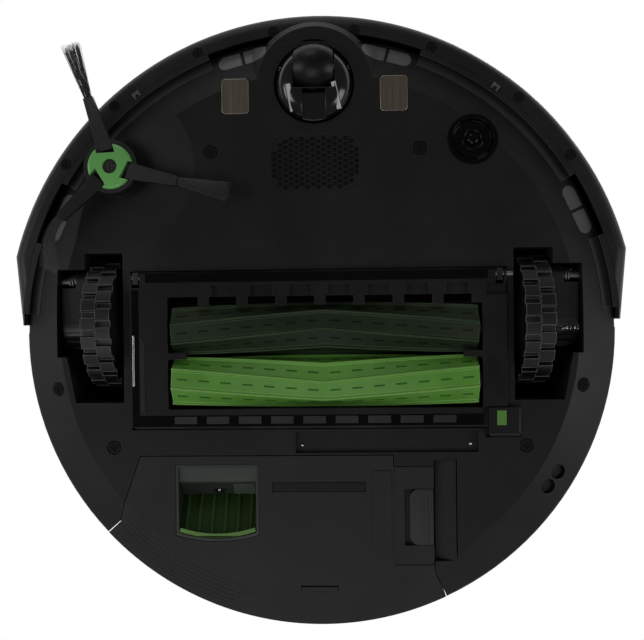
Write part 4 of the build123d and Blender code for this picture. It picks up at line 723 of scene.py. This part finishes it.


# Roller frame, latch and marker: the hinged black frame that holds the rollers in, snapped shut by a latch.
# Pile seals and skids line it, near-black strips along its edges are painted shade in the bay, and the green marker
# on the latch shows where to press.
frame_black = moulded("frame black", rgb(15, 15, 15), rgb(58, 58, 57), 0.45, 2100, 0.25, 0.04, 0.22)
marker_green = moulded("marker green", rgb(84, 130, 57), rgb(140, 190, 110), 0.4, 1600, 0.1, 0.1, 0.3)
dress(frame_black, "roller_frame", "frame_latch")
dress(marker_green, "latch_marker")

BAR_SIZES = ("Pitch", "Length", "Width", "Height", "Lean")
bars, given, end = layout("row of bars", [("Bars", "Int")] + [(key, "Float") for key in BAR_SIZES])
number = node(bars, "GeometryNodeInputIndex").outputs[0]
middle = calc(bars, "MULTIPLY", calc(bars, "SUBTRACT", given["Bars"], 1.0), 0.5)
off = calc(bars, "MULTIPLY", calc(bars, "SUBTRACT", number, middle), given["Pitch"])
spot = node(bars, "ShaderNodeCombineXYZ", X=off).outputs[0]
line = node(bars, "GeometryNodeMeshLine", Count=given["Bars"]).outputs[0]
points = node(bars, "GeometryNodeSetPosition", Geometry=line, Position=spot).outputs[0]
size = node(bars, "ShaderNodeCombineXYZ", X=given["Width"], Y=given["Length"], Z=given["Height"]).outputs[0]
bar = node(bars, "GeometryNodeMeshCube", Size=size).outputs["Mesh"]
turned = node(bars, "ShaderNodeCombineXYZ", Z=given["Lean"]).outputs[0]
row = node(bars, "GeometryNodeInstanceOnPoints", Points=points, Instance=bar, Rotation=turned).outputs[0]
close_layout(bars, row, given["Finish"], end)


def bar_row(name, count, pitch, length, width, height, lean, finish, body, place, turn=0.0):
    """Row of equal bars, sizes in mm and angles in degrees."""
    values = {
        "Bars": count, "Pitch": pitch * MM, "Length": length * MM, "Width": width * MM, "Height": height * MM,
        "Lean": radians(lean),
    }
    return lay_out(name, bars, finish, body, values, place, turn)


pile_grey = moulded("pile seal", rgb(44, 44, 43), rgb(96, 96, 94), 0.7, 3200, 0.4, 0.1, 0.2, 0.5, 0.2)
# The rubbed bar grey is floor wear on the skids and a painted highlight on the latch rim.
bar_grey_worn_and_lit = moulded("rubbed bar and painted highlight", rgb(34, 34, 33), rgb(80, 80, 78), 0.44, 2100, 0.25, 0.06, 0.3)
seal = bar_row("side_seal", 26, 1.5, 4.4, 0.55, 0.6, 56, pile_grey, "roller_guard", (-94.6, 28.9, 8.4), 90)
tread = bar_row("end_tread", 13, 1.3, 11.0, 0.45, 0.5, 50, frame_black, "roller_guard", (95.4, 30.4, 8.4), 90)
skids = bar_row("rear_skids", 9, 17.4, 3.9, 12.0, 0.5, 0, bar_grey_worn_and_lit, "roller_guard", (-1.6, 53.2, 8.45))

# Near-black strips round the frame are painted shade where the bay falls dark.
bay_shade_black = moulded("painted bay shade", rgb(4, 4, 4), rgb(14, 14, 14), 0.7, 2100, 0.2, 0.01, 0.06, 0.2)
painted_shade_trough = bmesh.new()
plate(painted_shade_trough, (-92.6, -26.3, 8.34), (91.6, -21.4, 8.6), 0.1)
plate(painted_shade_trough, (-100.2, -17.6, 8.34), (-96.4, 56.6, 8.6), 0.1)
plate(painted_shade_trough, (-96.4, 50.6, 8.34), (88.6, 56.6, 8.6), 0.1)
close_plates(painted_shade_trough, "frame_bay_shade", bay_shade_black, "roller_guard")
# A paler rim along the latch's right and rear sides is a painted highlight.
rim = bmesh.new()
plate(rim, (107.2, 48.2, 8.7), (108.2, 62.0, 9.3))
plate(rim, (92.2, 61.2, 8.7), (108.2, 62.2, 9.3))
close_plates(rim, "latch_rim_highlight", bar_grey_worn_and_lit, "guard_latch")
leaf = bmesh.new()
plate(leaf, (-99.9, 7.0, 8.1), (-98.9, 34.6, 8.7), 0.2)
close_plates(leaf, "guard_leaf_spring", spool_steel, "roller_guard")
PIN_PROFILE = [(0, -1.1), (0.6, -0.9), (1.0, -0.4), (1.1, 0.3), (0, 0.3)]
PIN_Z = 15.5
for name, x, y in (("left_recess_pin", 82.4, 67.6), ("right_recess_pin", -8.6, 68.0)):
    dot = turned_piece(name, PIN_PROFILE, (x, y, PIN_Z), spool_steel, "chassis", steps=20)


# Dust bin: charcoal tub with lid and filter, drawn out to the rear on its runners.
# Its underside has a slot, a rear notch and fine bevel ridges, and a ramp leads a finger to the tab.
bin_black = moulded("bin charcoal", rgb(30, 30, 30), rgb(72, 72, 71), 0.5, 2500, 0.28, 0.04, 0.25)
tab_black = moulded("tab black", rgb(33, 33, 33), rgb(76, 76, 75), 0.4, 2200, 0.2, 0.1, 0.35)
filter_white = moulded("pleated filter", rgb(206, 204, 196), rgb(224, 222, 214), 0.8, 900, 0.5, 0.5, 0.2, 0.2)
dress(bin_black, "bin_tub", "bin_lid")
dress(tab_black, "release_tab")
dress(filter_white, "bin_filter")

# Near-black for the bin's slot insert, and painted recess shade round the port screw.
slot_and_shade_black = moulded("slot insert and painted recess shade", rgb(17, 17, 17), rgb(40, 40, 40), 0.4, 2400, 0.2, 0.02, 0.2)
insert = bmesh.new()
plate(insert, (-25.3, 87.9, 13.4), (25.3, 92.9, 14.5))
close_plates(insert, "bin_slot_insert", slot_and_shade_black, "dust_bin")
notch = bmesh.new()
plate(notch, (-10.1, 144.8, 13.25), (10.1, 147.5, 15.4), 0.3)
close_plates(notch, "rear_notch_pad", bin_black, "dust_bin")
ramp = bmesh.new()
plate(ramp, (0, 76.3, -0.3), (11.8, 130.5, 0.3))
RAMP_RISE = 16.6
ramp_place = Matrix.Translation((63.0, 0, 17.6)) @ Matrix.Rotation(radians(RAMP_RISE), 4, "Y")
close_plates(ramp, "finger_ramp", cover_black, "chassis", ramp_place)
ridges = bmesh.new()
plate(ridges, (57.2, 92.8, 13.0), (58.2, 121.4, 13.7), 0.3)
plate(ridges, (59.6, 92.4, 13.0), (61.4, 121.8, 13.7), 0.3)
close_plates(ridges, "tab_ridges", tab_black, "bin_tab")

RIDGE_RADII = (145.2, 148.0, 150.8, 153.6, 156.4, 159.2)
RIDGE_FIRST = 102
RIDGE_LAST = 135.5
RIDGE_STAGGER = 1.5
RIDGE_STEPS = 48
RIDGE_SECTION = ((-0.3, -0.05), (0.0, 0.16), (0.3, -0.05))
UNDERSIDE_Z = 13
BEVEL_START = 141
BEVEL_SLOPE = 0.5
bevel_ridges = bmesh.new()
for number, radius in enumerate(RIDGE_RADII):
    first = RIDGE_FIRST + RIDGE_STAGGER * number
    strip = []
    for i in range(RIDGE_STEPS + 1):
        angle = radians(first + (RIDGE_LAST - first) * i / RIDGE_STEPS)
        strip.append([])
        for off, rise in RIDGE_SECTION:
            reach = radius + off
            height = UNDERSIDE_Z + BEVEL_SLOPE * (reach - BEVEL_START) - rise
            spot = (reach * cos(angle), BODY_CENTRE[1] + reach * sin(angle), height)
            strip[-1].append(bevel_ridges.verts.new(spot))
    skin(bevel_ridges, strip)
close_plates(bevel_ridges, "bin_bevel_ridges", bin_black, "dust_bin")


# Evacuation port: a dark chute frame with a ribbed green flap, hung on its own pin and sprung shut.
# The flap is a soft olive moulding; the pale edges of its ribs and the pale band along its lip are painted
# highlights.
# In front of it a sloped apron carries a pale pad and the screw that holds the frame in the bin; a dark disc of
# painted shade rings the screw as its recess.
port_dark = moulded("port grey-green", rgb(36, 42, 37), rgb(66, 72, 66), 0.4, 2000, 0.2, 0.12, 0.35)
door_green = moulded("flap green", rgb(27, 48, 14), rgb(96, 136, 66), 0.5, 1500, 0.15, 0.02, 0.12, 0.8, 0.4)
dress(port_dark, "port_frame")
dress(door_green, "evac_door")
LIP_MIDDLE = -55.55
LIP_HALF = 20.6
LIP_Y = 113.5
LIP_BOW = 3.3
LIP_WIDTH = 2.2
LIP_PLACE = Matrix.Translation((0, 0, 13.14))
# The pale band along the flap's lip is a painted highlight.
lip_highlight_green = moulded("painted lip highlight", rgb(84, 122, 58), rgb(138, 180, 100), 0.42, 1500, 0.15, 0.02, 0.3, 0.6, 0.3)
lip = bmesh.new()
lip_steps = [i / 20 - 1 for i in range(41)]
lip_line = [(LIP_MIDDLE + share * LIP_HALF, LIP_Y + LIP_BOW * (1 - share * share)) for share in lip_steps]
stroke(lip, lip_line, LIP_WIDTH)
close_plates(lip, "flap_lip_highlight", lip_highlight_green, "evac_flap", LIP_PLACE)
PORT_SLOPE = Matrix.Rotation(radians(45.3), 4, "X")
PORT_PLACE = Matrix.Translation((0, 88.0, 16.3)) @ PORT_SLOPE
PORT_SCREW = (-55.5, 93.2, 21.5)
apron = bmesh.new()
plate(apron, (-76.4, 0, -0.4), (-34.6, 11.2, 0.3))
close_plates(apron, "port_apron", port_dark, "dust_bin", PORT_PLACE)
# The dark disc round the port screw is painted shade of the screw's recess.
CUP_PROFILE = [(0.9, -0.5), (2.4, -0.9), (3.1, -0.7), (3.1, 0.2), (0.9, 0.2), (0.9, -0.5)]
screw_recess_shade = turned_piece("port_screw_recess_shade", CUP_PROFILE, PORT_SCREW, slot_and_shade_black, "dust_bin", PORT_SLOPE)
SCREW_PROFILE = [(0, -1.3), (0.6, -1.1), (1.0, -0.5), (1.0, 0.2), (0, 0.2)]
port_screw = turned_piece("port_screw", SCREW_PROFILE, PORT_SCREW, spool_steel, "dust_bin", PORT_SLOPE, 20)
port_pale = moulded("pale port pad", rgb(64, 74, 62), rgb(96, 106, 92), 0.5, 2000, 0.2, 0.08, 0.3)
pad = bmesh.new()
plate(pad, (-47.2, 1.6, -0.75), (-35.4, 10.9, -0.2))
close_plates(pad, "port_pad", port_pale, "dust_bin", PORT_PLACE)


# Inner pieces: sleeved battery, circuit board, brush and head motors, and the suction fan.
# They sit on the chassis floor and show only when the bin or the rollers are away.
battery_wrap = moulded("battery sleeve", rgb(42, 60, 84), rgb(90, 110, 130), 0.4, 700, 0.15, 0.15, 0.4)
board_green = moulded("board green", rgb(24, 66, 40), rgb(150, 140, 90), 0.4, 1800, 0.2, 0.1, 0.4)
motor_steel = turned_steel("motor can", rgb(140, 140, 138), rgb(190, 190, 188), 0.36)
fan_white = moulded("fan nylon", rgb(196, 196, 192), rgb(220, 220, 216), 0.5, 1600, 0.2, 0.35, 0.3, 0.2)
dress(battery_wrap, "battery_pack")
dress(board_green, "main_board")
dress(motor_steel, "head_motor", "brush_gearbox")
dress(fan_white, "fan_impeller")


# Stage: a pale floor that only shows from above, and a pale room that is dimmer below.
# From below the camera looks up past the robot into the bright half of the room.
FLOOR_HALF = 3.0
FLOOR_Z = -0.0003
corners = ((-1, -1), (1, -1), (1, 1), (-1, 1))
floor_mesh = bpy.data.meshes.new("floor")
floor_mesh.from_pydata([(FLOOR_HALF * x, FLOOR_HALF * y, FLOOR_Z) for x, y in corners], [], [(0, 1, 2, 3)])
floor = bpy.data.objects.new("floor", floor_mesh)
bpy.context.scene.collection.objects.link(floor)
floor_pale, tree, shader, place = surface("pale floor")
mottle = node(tree, "ShaderNodeTexNoise", Vector=place, Scale=6.0, Detail=3.0).outputs["Fac"]
tree.links.new(tint(tree, mottle, rgb(222, 222, 221), rgb(230, 230, 229)), shader.inputs["Base Color"])
shader.inputs["Roughness"].default_value = 0.8
shader.inputs["Specular IOR Level"].default_value = 0.1
ray = node(tree, "ShaderNodeLightPath").outputs["Is Camera Ray"]
back = node(tree, "ShaderNodeNewGeometry").outputs["Backfacing"]
seen = calc(tree, "MULTIPLY", ray, calc(tree, "SUBTRACT", 1.0, back))
clear = node(tree, "ShaderNodeBsdfTransparent").outputs[0]
shown = node(tree, "ShaderNodeMixShader", i0=seen, i1=clear, i2=shader.outputs[0])
tree.links.new(shown.outputs[0], tree.nodes["Material Output"].inputs["Surface"])
floor_mesh.materials.append(floor_pale)

room = bpy.data.worlds.new("room")
bpy.context.scene.world = room
room.use_nodes = True
tree = room.node_tree
sky = tree.nodes["Background"]
outlook = node(tree, "ShaderNodeTexCoord").outputs["Generated"]
upward = node(tree, "ShaderNodeSeparateXYZ", Vector=outlook).outputs["Z"]
level = node(tree, "ShaderNodeMapRange", Value=upward, i1=-0.12, i2=0.02, i3=0.12, i4=1.0).outputs[0]
tree.links.new(level, sky.inputs["Strength"])
sky.inputs["Color"].default_value = (1.0, 1.0, 1.0, 1.0)


AIM = Vector((0, 0, 0.04))


def softbox(name, place, power, size):
    """Square area lamp aimed at the middle of the robot."""
    lamp = bpy.data.lights.new(name, "AREA")
    lamp.energy = power
    lamp.size = size
    holder = bpy.data.objects.new(name, lamp)
    holder.location = place
    holder.rotation_euler = (AIM - Vector(place)).to_track_quat("-Z", "Y").to_euler()
    bpy.context.scene.collection.objects.link(holder)


softbox("rear softbox", (-0.15, 0.75, -1.0), 3.2, 0.8)
softbox("left softbox", (1.0, 0.2, -0.6), 3.3, 0.6)
softbox("right softbox", (-1.0, 0.0, -0.7), 3.6, 0.6)
softbox("front softbox", (-0.2, -1.1, -0.5), 1.3, 0.5)
softbox("top softbox", (0.7, -0.9, 1.3), 9.0, 0.8)


# Camera: straight below the robot, a little to its left, as the photograph was taken.
# Its place, its lens and its small turns follow from how features of the underside line up.
LENS_MM = 46.436
EYE = Vector((20.63, -2.1, -437.0)) * MM
TURNS = {"Y": 2.2654, "X": 0.2393, "Z": -0.6826}
sight = Matrix.Identity(3)
for axis, degrees_turned in TURNS.items():
    sight = Matrix.Rotation(radians(degrees_turned), 3, axis) @ sight
eye = bpy.data.cameras.new("camera")
eye.lens = LENS_MM
eye.sensor_width = 36.0
camera = bpy.data.objects.new("camera", eye)
axes = Matrix((sight[0], -sight[1], -sight[2])).transposed()
camera.matrix_world = Matrix.Translation(EYE) @ axes.to_4x4()
bpy.context.scene.collection.objects.link(camera)
bpy.context.scene.camera = camera
bpy.context.scene.view_settings.view_transform = "Standard"
